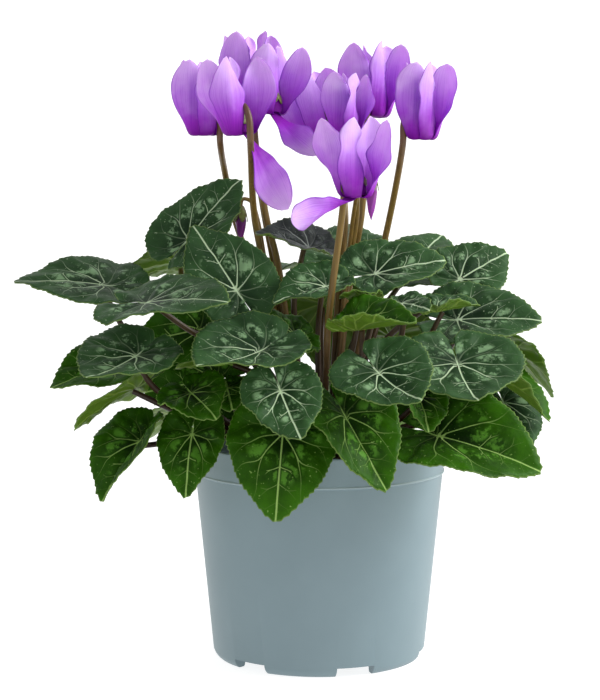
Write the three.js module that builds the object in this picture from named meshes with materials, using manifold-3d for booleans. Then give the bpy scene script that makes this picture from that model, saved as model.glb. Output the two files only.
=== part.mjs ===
// Potted cyclamen: a thin moulded plastic pot with potting soil, a corm at the soil's surface, the leaf and
// flower stalks that grow from it, forty-six toothed heart-shaped leaves, nine open blooms and two buds.
// Millimetres, +Z up, the pot's base on Z = 0 with its centre at the origin, the display side facing -Y.
import * as THREE from 'three';
import { mergeVertices } from 'three/addons/utils/BufferGeometryUtils.js';
import Module from 'manifold-3d';

const wasm = await Module();
wasm.setup();

// Driving dimensions of the pot, a common 12 cm grower's pot.
const potHeight = 104.5;
const rimRadius = 61;
const beadHeight = 90.7;
const footRadius = 49;
const wall = 1.4;
const floorHeight = 4;
const padRadius = 13;
const notchCount = 6;
const notchWidth = 18.5;
const notchHeight = 4.6;
const firstNotchDegrees = -70.6;
const potSides = 28;

// Driving dimensions of the soil, the corm and the stalks.
const seatGap = 0.3;
const soilHeight = 92;
const soilLumps = 1.6;
const cormRadius = 21;
const cormHalfHeight = 12;
const cormCentreHeight = 90;
const crownRadius = 17;
const leafStalkRadius = 1.5;
const leafStalkSteps = 4;
const flowerStalkRadius = 1.6;
const hookRadius = 1.2;

// Driving dimensions of a leaf blade, in shares of its length from the stalk to the tip.
const bladeThickness = 0.7;
const bladeRound = 0.63;
const bladePoint = 0.37;
const pointSpread = 31;
const lobeShrink = 0.12;
const lobeRise = 50;
const sinusDegrees = 171;
const toothDepth = 0.05;
const tipStretch = 1.05;
const veinLobes = 0.025;

// Driving dimensions of a bloom.
const mouthRadius = 5;
const tubeLength = 7;
const petalThickness = 0.65;
const petalLength = 39;
const petalWidth = 19;
const petalTwist = 60;
const clawWidth = 7;

const radians = Math.PI / 180;
const vec = (p) => new THREE.Vector3(...p);
const mix = (a, b, t) => a + (b - a) * t;
const smooth = (a, b, x) => {
  const t = Math.min(1, Math.max(0, (x - a) / (b - a)));
  return t * t * (3 - 2 * t);
};

const cyclamen = new THREE.Group();
cyclamen.name = 'potted_cyclamen';

const finishes = {
  pot: { color: 0x8296a0, roughness: 0.5, metalness: 0 },
  soil: { color: 0x2b2018, roughness: 0.95, metalness: 0 },
  stalks: { color: 0x6b4a2c, roughness: 0.5, metalness: 0 },
  leaf: { color: 0x24401c, roughness: 0.45, metalness: 0 },
  petal: { color: 0xa55fd2, roughness: 0.55, metalness: 0 },
};

// Adds one named piece, from a geometry or from a manifold solid.
function addPiece(name, shape, finish) {
  const geometry = shape.isBufferGeometry ? shape : geometryOf(shape);
  const mesh = new THREE.Mesh(geometry, new THREE.MeshStandardMaterial(finishes[finish]));
  mesh.name = name;
  cyclamen.add(mesh);
  return mesh;
}

function solidOf(geometry) {
  const bare = geometry.clone();
  bare.deleteAttribute('normal');
  bare.deleteAttribute('uv');
  const merged = mergeVertices(bare, 1e-4);
  return new wasm.Manifold(new wasm.Mesh({
    numProp: 3,
    vertProperties: new Float32Array(merged.attributes.position.array),
    triVerts: new Uint32Array(merged.index.array),
  }));
}

function geometryOf(solid) {
  const mesh = solid.getMesh();
  const positions = new Float32Array(mesh.numVert * 3);
  for (let i = 0; i < mesh.numVert; i += 1) {
    for (let k = 0; k < 3; k += 1) {
      positions[i * 3 + k] = mesh.vertProperties[i * mesh.numProp + k];
    }
  }
  const geometry = new THREE.BufferGeometry();
  geometry.setAttribute('position', new THREE.BufferAttribute(positions, 3));
  geometry.setIndex(new THREE.BufferAttribute(new Uint32Array(mesh.triVerts), 1));
  return geometry;
}

function geometryFrom(points, triangles) {
  const geometry = new THREE.BufferGeometry();
  const positions = points.flatMap((p) => [p.x, p.y, p.z]);
  geometry.setAttribute('position', new THREE.Float32BufferAttribute(positions, 3));
  geometry.setIndex(triangles.flat());
  return geometry;
}

// A lathe profile of [radius, height] pairs, turned about +Z. The profile runs anticlockwise.
function turned(profile, sides) {
  const points = profile.map(([r, h]) => new THREE.Vector2(r, h));
  return new THREE.LatheGeometry(points, sides).rotateX(Math.PI / 2);
}

// The pot: a tapered thin-walled shell with a collar above a fine bead, a floor raised between a foot ring
// and a flat pad in the middle, and six notches through the foot, each with a drain hole beside it.
function makePot() {
  const wallRadius = (z) => mix(footRadius + 2.2, rimRadius - 0.8, (z - 3) / (beadHeight - 3));
  const inner = (z) => wallRadius(z) - wall;
  const profile = [
    [0, 0], [padRadius, 0], [padRadius + 2.5, floorHeight], [footRadius - 5, floorHeight], [footRadius - 4, 0],
    [footRadius, 0],
    [footRadius + 1.6, 1], [wallRadius(3), 3],
    [wallRadius(beadHeight - 0.8), beadHeight - 0.8],
    [rimRadius - 0.2, beadHeight], [rimRadius - 0.6, beadHeight + 0.9],
    [rimRadius - 0.3, potHeight - 0.6], [rimRadius - 0.8, potHeight],
    [rimRadius - wall - 0.2, potHeight - 0.2], [rimRadius - wall - 0.6, beadHeight],
    [inner(floorHeight + 4), floorHeight + 4], [inner(3) - 2.5, floorHeight + wall],
    [padRadius + 3.5, floorHeight + wall], [padRadius + 1, wall], [0, wall],
  ];
  let pot = solidOf(turned(profile, potSides));
  for (let i = 0; i < notchCount; i += 1) {
    const angle = (firstNotchDegrees + (i * 360) / notchCount) * radians;
    const notch = new THREE.BoxGeometry(16, notchWidth, notchHeight * 2)
      .translate(footRadius + 2, 0, 0).rotateZ(angle);
    const hole = new THREE.CylinderGeometry(3.5, 3.5, 8, 8)
      .rotateX(Math.PI / 2).translate(footRadius - 10, 0, floorHeight).rotateZ(angle);
    pot = pot.subtract(solidOf(notch)).subtract(solidOf(hole));
  }
  addPiece('pot', pot.asOriginal().simplify(0.01), 'pot');
  return inner;
}

// The corm: a flattened round tuber, half sunk in the soil, grown a size larger for the hollow it sits in.
function cormSolid(extra) {
  return solidOf(new THREE.SphereGeometry(1, 16, 7).rotateX(Math.PI / 2)
    .scale(cormRadius + extra, cormRadius + extra, cormHalfHeight + extra)
    .translate(0, 0, cormCentreHeight));
}

// The height of the corm's top at a distance from its middle.
function cormTop(radius) {
  return cormCentreHeight + cormHalfHeight * Math.sqrt(1 - (radius / cormRadius) ** 2);
}

// The soil: it fills the pot to below the rim, with a lumpy top and a round hollow for the corm.
function makeSoil(innerRadius) {
  const sides = 24;
  const rings = [0.25, 0.45, 0.7, 1];
  const base = floorHeight + wall + seatGap;
  const lump = (r, a) => soilLumps * Math.sin(a * 3 + r * 0.4) * Math.cos(a * 5 - r * 0.3) * smooth(58, 44, r);
  const top = [];
  const points = [new THREE.Vector3(0, 0, soilHeight)];
  rings.forEach((share) => {
    const ring = [];
    for (let i = 0; i < sides; i += 1) {
      const angle = (i / sides) * 2 * Math.PI;
      const radius = share * (innerRadius(soilHeight - 2) - seatGap - 0.2);
      ring.push(points.length);
      points.push(new THREE.Vector3(
        radius * Math.cos(angle), radius * Math.sin(angle), soilHeight + lump(radius, angle)));
    }
    top.push(ring);
  });
  for (const height of [base + 3, base]) {
    const ring = [];
    const radius = height > base ? innerRadius(height) - seatGap - 0.4 : innerRadius(height) - 4;
    for (let i = 0; i < sides; i += 1) {
      const angle = (i / sides) * 2 * Math.PI;
      ring.push(points.length);
      points.push(new THREE.Vector3(radius * Math.cos(angle), radius * Math.sin(angle), height));
    }
    top.push(ring);
  }
  const last = points.length;
  points.push(new THREE.Vector3(0, 0, base));
  const triangles = [];
  for (let i = 0; i < sides; i += 1) {
    const j = (i + 1) % sides;
    triangles.push([0, top[0][i], top[0][j]]);
    for (let k = 0; k + 1 < top.length; k += 1) {
      triangles.push([top[k][i], top[k + 1][i], top[k + 1][j]], [top[k][i], top[k + 1][j], top[k][j]]);
    }
    triangles.push([top.at(-1)[i], last, top.at(-1)[j]]);
  }
  const soil = solidOf(geometryFrom(points, triangles)).subtract(cormSolid(seatGap + 0.1));
  addPiece('soil', soil, 'soil');
}

// Each leaf: where its stalk joins the blade, where its tip is, and the way its upper side faces.
// fold and curl lift the two halves from the midrib, the left half first when seen from the stalk;
// droop bends the midrib down along its length, wave ruffles the edge and wide stretches the blade.
const leaves = [
  // Lowest ring at the front and sides, hanging over the pot's rim.
  { name: 'leaf_front_low', at: [-17, -68, 117], tip: [-20, -86, 81], face: [0, -1, 0.5], droop: 30, curl: -15, wide: 0.96 },
  { name: 'leaf_front_low_right', at: [11, -64, 125], tip: [29, -82, 94], face: [-0.1, -1, 0.4], droop: 30, fold: [0, 50], wide: 0.9 },
  { name: 'leaf_right_low', at: [55, -46, 113], tip: [100, -60, 99], face: [0, -1, 0.7], droop: 25, fold: [0, 35] },
  { name: 'leaf_left_low', at: [-59, -48, 114], tip: [-61, -64, 88], face: [-0.2, -1, 0.6], droop: 30, wide: 0.8 },
  { name: 'leaf_far_left_low', at: [-84, -36, 109], tip: [-100, -52, 84], face: [-0.4, -1, 0.3], droop: 20, fold: [55, 0] },
  // Second ring, above and partly over the lowest.
  { name: 'leaf_front_middle', at: [-18, -78, 138], tip: [-9, -100, 120], face: [0, -1, 1], droop: -15, wide: 0.95 },
  { name: 'leaf_front_right_middle', at: [26, -67, 145], tip: [44, -94, 136], face: [-0.1, -0.6, 1], droop: -30, fold: [10, 10], wide: 1.1 },
  { name: 'leaf_right_middle', at: [64, -38, 146], tip: [71, -70, 133], face: [0.1, -0.6, 1], droop: -35, wide: 1.35, fold: [8, 8] },
  { name: 'leaf_left_middle', at: [-84, -52, 151], tip: [-104, -78, 144], face: [0.1, -0.5, 1], droop: -20, wide: 1.2, fold: [20, 0] },
  { name: 'leaf_front_left_middle', at: [-27, -60, 154], tip: [-54, -92, 151], face: [0.2, -0.5, 0.8], droop: -25, fold: [30, 0] },
  { name: 'leaf_left_small', at: [-59, -54, 134], tip: [-47, -74, 125], face: [0.1, -1, 0.7], droop: 20, fold: [10, 10] },
  { name: 'leaf_front_small', at: [45, -50, 132], tip: [49, -66, 118], face: [0.6, -1, 0.4], droop: 20, fold: [20, 20], steps: 16 },
  { name: 'leaf_left_folded', at: [-86, -32, 134], tip: [-113, -46, 117], face: [-0.5, 0.3, 0.8], droop: 20, wide: 0.75, steps: 16 },
  { name: 'leaf_far_left_middle', at: [-101, 8, 139], tip: [-128, -6, 131], face: [0, -0.7, 0.8], droop: 20, fold: [25, 0] },
  { name: 'leaf_left_dark', at: [-50, 2, 134], tip: [-84, 0, 128], face: [0, -1, 0.4], droop: 20, steps: 16 },
  { name: 'leaf_right_folded', at: [86, 2, 134], tip: [110, -6, 115], face: [0.5, -0.6, 0.6], droop: 20, fold: [0, 60] },
  { name: 'leaf_far_right', at: [91, 28, 148], tip: [116, 28, 123], face: [0.6, 0.4, 1], droop: 20 },
  { name: 'leaf_right_inner', at: [90, 8, 122], tip: [98, -12, 101], face: [0.5, -1, 0.3], droop: 20, steps: 16 },
  { name: 'leaf_left_inner', at: [-38, -38, 146], tip: [-66, -44, 145], face: [0, 0.2, 1], droop: 15, wide: 0.8, steps: 16 },
  { name: 'leaf_left_shadow', at: [-58, 6, 158], tip: [-92, 4, 150], face: [0, -1, 0.45], droop: 15, wide: 0.75, steps: 16 },
  // Third ring, the shoulder of the plant.
  { name: 'leaf_cupped', at: [17, -54, 163], tip: [43, -64, 167], face: [0, -0.1, 1], droop: 5, fold: [44, 28], wide: 1.1 },
  { name: 'leaf_front_upright', at: [-39, -24, 179], tip: [-60, -7, 208], face: [0.1, -1, 0.7], droop: 12, fold: [8, 8], wide: 0.85 },
  { name: 'leaf_left_flat', at: [-79, -47, 175], tip: [-42, -70, 177], face: [0, -0.27, 1], droop: 16, fold: [10, 0] },
  { name: 'leaf_far_left', at: [-104, 12, 179], tip: [-147, 8, 181], face: [0, -0.27, 1], droop: 14, fold: [0, 10] },
  { name: 'leaf_left_lime', at: [-67, 39, 189], tip: [-94, 37, 184], face: [0, 0.6, 1], droop: 20, steps: 16 },
  { name: 'leaf_right_shoulder', at: [27, -10, 186], tip: [60, -4, 192], face: [0, -0.75, 0.7], droop: 16, fold: [0, 25], wide: 0.95 },
  { name: 'leaf_right_back', at: [70, 28, 181], tip: [94, 42, 193], face: [0.1, -1, 0.8], droop: 14 },
  { name: 'leaf_right_tip', at: [67, 2, 163], tip: [106, -6, 163], face: [0, -0.7, 0.8], droop: 18, fold: [0, 20] },
  { name: 'leaf_top_purple', at: [-5, 0, 198], tip: [-30, -6, 205], face: [0, -0.7, 0.7], droop: 8, fold: [45, 0] },
  { name: 'leaf_centre', at: [3, -27, 181], tip: [-21, -38, 174], face: [0, -0.8, 0.78], droop: 12, fold: [40, 0] },
  { name: 'leaf_inner_right', at: [56, -22, 169], tip: [75, -18, 172], face: [0, -0.1, 1], droop: 5, fold: [30, 30], steps: 16 },
  { name: 'leaf_inner_small', at: [38, -38, 174], tip: [50, -50, 172], face: [0.2, -0.6, 0.8], droop: 15, steps: 16 },
  { name: 'leaf_inner_lime', at: [21, -32, 175], tip: [10, -45, 178], face: [-0.3, -0.4, 1], droop: 10, fold: [30, 0], wide: 0.8, steps: 16 },
  { name: 'leaf_inner_dark', at: [-43, -42, 135], tip: [-40, -60, 127], face: [0, -0.5, 1], droop: 20, steps: 16 },
  { name: 'leaf_centre_dark', at: [-12, -30, 159], tip: [-31, -42, 161], face: [0, -0.6, 0.8], droop: 10, wide: 1.1, steps: 16 },
  // Top leaves behind the flower stalks.
  { name: 'leaf_top_left', at: [-63, 9, 202], tip: [-39, 21, 230], face: [-0.3, -1, 0.8], droop: 12, wide: 0.9, fold: [0, 15] },
  { name: 'leaf_top_back', at: [14, 36, 190], tip: [18, 68, 206], face: [0, -0.3, 1], droop: 16 },
  { name: 'leaf_top_back_right', at: [46, 50, 184], tip: [64, 80, 200], face: [0, -0.3, 1], droop: 16 },
  // Back of the plant, which the display side hides.
  { name: 'leaf_back_low_1', at: [65, 33, 114], tip: [96, 46, 86], face: [1, 0.5, 0.8], droop: 30, steps: 16 },
  { name: 'leaf_back_low_2', at: [24, 68, 116], tip: [42, 98, 88], face: [0.4, 1, 0.8], droop: 30, steps: 16 },
  { name: 'leaf_back_low_3', at: [-30, 66, 114], tip: [-42, 98, 82], face: [-0.3, 1, 0.8], droop: 30, steps: 16 },
  { name: 'leaf_back_low_4', at: [-66, 28, 114], tip: [-102, 38, 90], face: [-1, 0.5, 0.8], droop: 30, steps: 16 },
  { name: 'leaf_back_middle_1', at: [38, 52, 150], tip: [66, 78, 112], face: [0.6, 1, 0.7], droop: 25, wide: 0.85, steps: 16 },
  { name: 'leaf_back_middle_2', at: [2, 38, 168], tip: [4, 56, 132], face: [0, 1, 0.7], droop: 25, wide: 0.8, steps: 16 },
  { name: 'leaf_back_middle_3', at: [-50, 36, 152], tip: [-84, 58, 116], face: [-0.7, 1, 0.7], droop: 25, wide: 0.85, steps: 16 },
  { name: 'leaf_back_shoulder', at: [-32, 58, 182], tip: [-56, 90, 176], face: [-0.3, 0.3, 1], droop: 20, steps: 16 },
];

// The blade's reach from the stalk at an angle from the midrib, in shares of its length.
function bladeReach(degrees) {
  const a = Math.abs(degrees);
  const heart = bladeRound + bladePoint * Math.exp(-((a / pointSpread) ** 1.3));
  const lobes = heart - lobeShrink * smooth(100, 175, a);
  const corner = 1 - 0.25 * smooth(sinusDegrees - 18, sinusDegrees, a) ** 2;
  return lobes * corner * (1 + veinLobes * Math.cos(a * radians * 9));
}

// Places a leaf: its frame at the stalk, its length along the bent midrib and its bends in radians.
function placeLeaf(leaf) {
  const at = vec(leaf.at);
  const chord = vec(leaf.tip).sub(at);
  const along = chord.clone().normalize();
  const face = vec(leaf.face);
  const up = face.addScaledVector(along, -face.dot(along)).normalize();
  const left = up.clone().cross(along);
  const droop = (leaf.droop ?? 20) * radians;
  const length = chord.length() / (Math.sin(droop / 2) / (droop / 2));
  const fold = (leaf.fold ?? [5, 5]).map((v) => v * radians);
  const curl = (leaf.curl ?? 0) * radians + 1e-4;
  return { at, along, up, left, droop, length, fold, curl, wide: leaf.wide ?? 1, wave: leaf.wave ?? 1.2, steps: leaf.steps ?? 24 };
}

// A point of the blade: share 0 to 1 of the reach at an angle, lifted off the middle surface.
function bladePoint3(leaf, share, degrees, lift, stretch = 1) {
  const reach = bladeReach(degrees) * stretch * share;
  const s = reach * Math.cos(degrees * radians);
  const q = Math.abs(reach * Math.sin(degrees * radians)) * leaf.wide;
  const side = degrees < 0 ? -1 : 1;
  const fold = leaf.fold[side > 0 ? 0 : 1];
  const start = leaf.droop / 2;
  const rate = s < 0 ? -lobeRise * radians : leaf.droop;
  const bend = start - rate * s;
  const forward = (leaf.length * (Math.sin(start) - Math.sin(bend))) / rate;
  const rise = (leaf.length * (Math.cos(bend) - Math.cos(start))) / rate;
  const turn = fold + leaf.curl * q;
  const across = (leaf.length * (Math.sin(turn) - Math.sin(fold))) / leaf.curl;
  const lifted = (leaf.length * (Math.cos(fold) - Math.cos(turn))) / leaf.curl;
  const ruffle = leaf.wave * share * share * Math.sin(degrees * radians * 4.5);
  const normal = leaf.along.clone().multiplyScalar(-Math.sin(bend)).addScaledVector(leaf.up, Math.cos(bend));
  const height = lifted + (ruffle + lift) * Math.cos(turn);
  return leaf.at.clone().addScaledVector(leaf.along, forward).addScaledVector(leaf.up, rise)
    .addScaledVector(leaf.left, side * (across - (ruffle + lift) * Math.sin(turn)))
    .addScaledVector(normal, height);
}

// A blade as one thin solid: the same fan of triangles on both faces, and a toothed rim.
function bladeGeometry(leaf) {
  const { steps } = leaf;
  const points = [];
  const triangles = [];
  const angle = (k) => mix(-sinusDegrees, sinusDegrees, k / steps);
  const faces = [bladeThickness / 2, -bladeThickness / 2].map((lift) => {
    const tooth = (k) => {
      if (k * 2 === steps) return tipStretch;
      return k % 2 ? 1 + toothDepth / 2 : 1 - toothDepth / 2;
    };
    const put = (share, degrees, stretch) => {
      points.push(bladePoint3(leaf, share, degrees, lift, stretch));
      return points.length - 1;
    };
    const centre = put(0, 0, 1);
    const middle = [];
    const edge = [];
    for (let k = 0; k <= steps; k += 1) {
      if (k % 2 === 0) middle.push(put(0.5, angle(k), 1));
      edge.push(put(1, angle(k), tooth(k)));
    }
    return { centre, middle, edge };
  });
  const [top, bottom] = faces;
  const both = (pick) => {
    const [a, b, c] = pick(top);
    triangles.push([a, b, c]);
    const [d, e, f] = pick(bottom);
    triangles.push([d, f, e]);
  };
  for (let m = 0; m < steps / 2; m += 1) {
    both((f) => [f.centre, f.middle[m], f.middle[m + 1]]);
    both((f) => [f.middle[m], f.edge[2 * m], f.edge[2 * m + 1]]);
    both((f) => [f.middle[m], f.edge[2 * m + 1], f.middle[m + 1]]);
    both((f) => [f.middle[m + 1], f.edge[2 * m + 1], f.edge[2 * m + 2]]);
  }
  const loop = (f) => [f.centre, f.middle[0], ...f.edge, f.middle.at(-1)];
  const upper = loop(top);
  const lower = loop(bottom);
  upper.forEach((a, i) => {
    const j = (i + 1) % upper.length;
    triangles.push([a, lower[i], lower[j]], [a, lower[j], upper[j]]);
  });
  return geometryFrom(points, triangles);
}

// A round stalk: a tube of few sides along a curve, thinner towards its end, with flat closed ends. The
// last end is square to the seat's normal, where one is given.
function tube(curve, steps, sides, radiusAt, seat = null) {
  const frames = curve.computeFrenetFrames(steps, false);
  const points = [];
  const triangles = [];
  for (let i = 0; i <= steps; i += 1) {
    const centre = curve.getPointAt(i / steps);
    const seated = seat !== null && i === steps;
    const normal = seated ? frames.normals[i].clone().projectOnPlane(seat).normalize() : frames.normals[i];
    const binormal = seated ? seat.clone().cross(normal) : frames.binormals[i];
    for (let k = 0; k < sides; k += 1) {
      const a = (k / sides) * 2 * Math.PI;
      points.push(centre.clone()
        .addScaledVector(normal, radiusAt(i / steps) * Math.cos(a))
        .addScaledVector(binormal, radiusAt(i / steps) * Math.sin(a)));
    }
  }
  const ends = [points.length, points.length + 1];
  points.push(curve.getPointAt(0), curve.getPointAt(1));
  for (let k = 0; k < sides; k += 1) {
    const n = (k + 1) % sides;
    triangles.push([ends[0], n, k]);
    for (let i = 0; i < steps; i += 1) {
      const a = i * sides;
      const b = a + sides;
      triangles.push([a + k, a + n, b + n], [a + k, b + n, b + k]);
    }
    triangles.push([ends[1], steps * sides + k, steps * sides + n]);
  }
  return geometryFrom(points, triangles);
}

// Each bloom: the centre of its mouth, the way its axis leans from the upright, the side its stalk comes
// up on, the turn of its petals, and any petal that doesn't stand up with the others.
// via is where its stalk passes on the way up from the crown.
const blooms = [
  { name: 'bloom_left', mouth: [-56, 12, 253], lean: [0, 0], stalkSide: 342, via: [[-30, 18, 180], [-42, 33, 212], [-46, 32, 232]], petals: [[28, 86], [96, 86], [162, 90, 65], [228, 90, 55], [290, 86, 50]] },
  { name: 'bloom_left_front', mouth: [-37, -30, 253], lean: [-0.04, -0.05], stalkSide: 304, via: [[-27, 8, 190], [-31, 3, 212]], petals: [[248, 90, 60], [350, -62, 76], [32, 84], [110, 86], [192, 82, 62]] },
  { name: 'bloom_left_top', mouth: [-35, 46, 268], lean: [0.02, 0.1], stalkSide: 275, via: [[-22, 12, 190], [-27, 22, 215]], petals: [[222, 88, 40], [318, 88], [22, 86], [92, 88], [158, 84]] },
  { name: 'bloom_left_back', mouth: [-23, 5, 263], lean: [0.06, 0], stalkSide: 202, via: [[-20, 8, 190], [-26, 8, 215]], petals: [[248, 90, 50], [312, -28, 40], [12, 84, 70], [84, 88], [140, 91]], size: 0.92 },
  { name: 'bloom_front', mouth: [16, -56, 225], lean: [0.02, -0.05], stalkSide: 128, via: [[3, -30, 140], [4, -46, 168]], petals: [[172, 80, 65], [258, 90, 70], [338, 80, 65], [62, 88], [226, -8, 75]] },
  { name: 'bloom_centre_left', mouth: [1, 42, 250], lean: [-0.18, 0.05], stalkSide: 325, via: [[10, 14, 180], [13, 20, 212]], petals: [[12, 88], [80, 86], [146, 86, 65], [200, 80, 62], [268, 88, 50]] },
  { name: 'bloom_centre', mouth: [12, -22, 252], lean: [0.06, 0], stalkSide: 60, via: [[14, 12, 185], [18, 4, 215]], petals: [[110, 90], [168, 90], [228, 90, 40], [292, 90, 55], [4, 88, 45]], size: 0.82 },
  { name: 'bloom_centre_back', mouth: [27, 26, 262], lean: [0.03, 0.05], stalkSide: 244, via: [[16, 20, 185], [21, 16, 215]], petals: [[290, 90, 50], [350, 84, 65], [56, 86], [120, 86], [190, 86, 65]] },
  { name: 'bloom_right', mouth: [48, -10, 251], lean: [0.03, 0], stalkSide: 189, via: [[24, 12, 170], [33, 12, 206]], petals: [[234, 92, 60], [292, 90, 50], [352, 86, 62], [62, 88], [134, 88]] },
];

// A bloom's frame: the axis points from the mouth up to the calyx; the petals stand round it.
function placeBloom(bloom) {
  const axis = new THREE.Vector3(bloom.lean[0], bloom.lean[1], 1).normalize();
  const side = bloom.stalkSide * radians;
  const across = new THREE.Vector3(Math.cos(side), Math.sin(side), 0);
  across.addScaledVector(axis, -across.dot(axis)).normalize();
  return { ...bloom, mouth: vec(bloom.mouth), axis, across };
}

// The middle line of a petal at a share of its length: outwards from the mouth's rim, then swept up.
function petalLine(standing, share, length) {
  const steps = 40;
  let out = mouthRadius - 1.2;
  let up = 0;
  for (let i = 0; i < steps; i += 1) {
    const t = ((i + 0.5) / steps) * share;
    const angle = mix(-25, standing - 8, smooth(0, 0.12, t)) + 16 * t * t;
    out += (length * share * Math.cos(angle * radians)) / steps;
    up += (length * share * Math.sin(angle * radians)) / steps;
  }
  return [out, up];
}

// A point of a petal: share along it, across from -1 to 1, lifted off its middle surface.
function petalPoint(bloom, index, share, across, lift) {
  const [turn, standing, turned = petalTwist] = bloom.petals[index];
  const size = bloom.size ?? 1;
  const length = petalLength * size;
  const radial = new THREE.Vector3(Math.cos(turn * radians), Math.sin(turn * radians), 0);
  radial.addScaledVector(bloom.axis, -radial.dot(bloom.axis)).normalize();
  const tangent = bloom.axis.clone().cross(radial);
  const [out, up] = petalLine(standing, share, length);
  const [outNext, upNext] = petalLine(standing, Math.min(1, share + 0.01), length);
  const [outBefore, upBefore] = petalLine(standing, Math.max(0, share - 0.01), length);
  const direction = Math.atan2(upNext - upBefore, outNext - outBefore);
  const twist = turned * radians * smooth(0.02, 0.75, share);
  const point = Math.max(0, share - 0.58) / 0.42;
  const width = mix(clawWidth * size, petalWidth * size, smooth(0.04, 0.66, share)) * Math.max(0.08, 1 - point ** 2.2) ** 0.7;
  const normal = radial.clone().multiplyScalar(-Math.sin(direction)).addScaledVector(bloom.axis, Math.cos(direction));
  const wide = tangent.clone().multiplyScalar(Math.cos(twist)).addScaledVector(normal, Math.sin(twist));
  const thick = normal.clone().multiplyScalar(Math.cos(twist)).addScaledVector(tangent, -Math.sin(twist));
  const cup = 0.16 * width * across * across;
  return bloom.mouth.clone().addScaledVector(radial, out).addScaledVector(bloom.axis, up)
    .addScaledVector(wide, (width / 2) * across).addScaledVector(thick, lift + cup);
}

// A petal as one thin solid, a grid of the same triangles on both faces.
function petalGeometry(bloom, index) {
  const along = [0, 0.1, 0.38, 0.72, 1];
  const across = [-1, 0, 1];
  const points = [];
  const triangles = [];
  const grids = [petalThickness / 2, -petalThickness / 2].map((lift) => along.map((t) => across.map((q) => {
    points.push(petalPoint(bloom, index, t, q, lift));
    return points.length - 1;
  })));
  const quad = (a, b, c, d) => triangles.push([a, b, c], [a, c, d]);
  const rows = along.length - 1;
  const columns = across.length - 1;
  for (let i = 0; i < rows; i += 1) {
    for (let k = 0; k < columns; k += 1) {
      const [g, h] = grids;
      triangles.push([g[i][k], g[i + 1][k], g[i + 1][k + 1]], [g[i][k], g[i + 1][k + 1], g[i][k + 1]]);
      triangles.push([h[i][k], h[i + 1][k + 1], h[i + 1][k]], [h[i][k], h[i][k + 1], h[i + 1][k + 1]]);
    }
    quad(grids[0][i][0], grids[1][i][0], grids[1][i + 1][0], grids[0][i + 1][0]);
    quad(grids[0][i][columns], grids[0][i + 1][columns], grids[1][i + 1][columns], grids[1][i][columns]);
  }
  for (let k = 0; k < columns; k += 1) {
    quad(grids[0][0][k], grids[0][0][k + 1], grids[1][0][k + 1], grids[1][0][k]);
    quad(grids[0][rows][k], grids[1][rows][k], grids[1][rows][k + 1], grids[0][rows][k + 1]);
  }
  return geometryFrom(points, triangles);
}

// Turns a shape made round +Z onto a bloom's axis at its mouth.
function ontoBloom(geometry, bloom) {
  const turn = new THREE.Quaternion().setFromUnitVectors(new THREE.Vector3(0, 0, 1), bloom.axis);
  return geometry.applyQuaternion(turn).translate(bloom.mouth.x, bloom.mouth.y, bloom.mouth.z);
}

function bloomSolid(bloom) {
  const tubeProfile = [
    [0, 1.5], [mouthRadius - 1.4, 1.2], [mouthRadius - 0.8, -0.4], [mouthRadius + 0.2, 0.6],
    [mouthRadius - 1, tubeLength], [0, tubeLength],
  ];
  let solid = solidOf(ontoBloom(turned(tubeProfile, 8), bloom));
  for (let i = 0; i < 5; i += 1) solid = solid.add(solidOf(petalGeometry(bloom, i)));
  return solid.asOriginal().simplify(0.09);
}

// Each bud hangs from a hooked stalk: top is where its calyx holds it, and stalk is the stalk's route.
const buds = [
  { name: 'bud_large', top: [24, -28, 231], width: 6, length: 19, stalk: [[4, 4, 94], [9, 8, 140], [14, 10, 192], [18, -4, 224], [21, -20, 238], [24, -28, 238], [24, -28, 233]] },
  { name: 'bud_small', top: [-38, 12, 215], width: 6, length: 15, stalk: [[-5, 2, 94], [-14, 10, 140], [-26, 12, 190], [-30, 12, 212], [-33, 12, 220], [-37, 12, 221], [-38, 12, 217]] },
];

// A closed bud: a spindle of petals wound round each other, hanging point down.
function budGeometry(bud) {
  const { top, width, length } = bud;
  const profile = [[0, -length], [0.26 * width, -0.75 * length], [0.5 * width, -0.3 * length], [0.4 * width, -0.06 * length], [0.3 * width, 0], [0, 0]];
  return turned(profile, 8).translate(top[0], top[1], top[2]);
}

// A flower stalk's route: up from the crown, past the mouth on its own side, over the top and down to
// the calyx, which it meets along the bloom's axis.
function flowerStalkCurve(bloom) {
  const { mouth, axis, across } = bloom;
  const beside = (out, up) => mouth.clone().addScaledVector(across, out).addScaledVector(axis, up);
  const via = bloom.via.map(vec);
  const start = new THREE.Vector3(via[0].x, via[0].y, 0).setLength(crownRadius * 0.6);
  start.z = cormTop(start.length()) - 5;
  return new THREE.CatmullRomCurve3([
    start, start.clone().lerp(via[0], 0.4).setZ(mix(start.z, via[0].z, 0.5)), ...via,
    beside(8.6, -4), beside(8.2, 7), beside(4.6, 12.4), beside(0.8, 12), beside(0, tubeLength + 1.4),
  ], false, 'centripetal');
}

const placedLeaves = leaves.map((leaf) => ({ name: leaf.name, ...placeLeaf(leaf) }));
const placedBlooms = blooms.map(placeBloom);

// Points all over the blades, which a leaf stalk is bent clear of.
const bladePoints = placedLeaves.map((leaf) => {
  const found = [];
  for (let a = -168; a <= 168; a += 8) {
    for (let share = 0.12; share <= 1.01; share += 0.11) found.push(bladePoint3(leaf, share, a, 0));
  }
  return found;
});

// A leaf stalk's route: up and outwards from the crown, and square on to the blade's underside. Where it
// would cross another blade, it swings to the side, in the first way of a fixed list that is clear.
const liftsAndRaises = [
  [0.3, 0], [0.45, 0], [0.18, 0], [0.6, 0], [0.05, 0], [0.75, 0], [0.3, 0.15], [0.45, -0.1], [0.6, -0.2],
];

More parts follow.
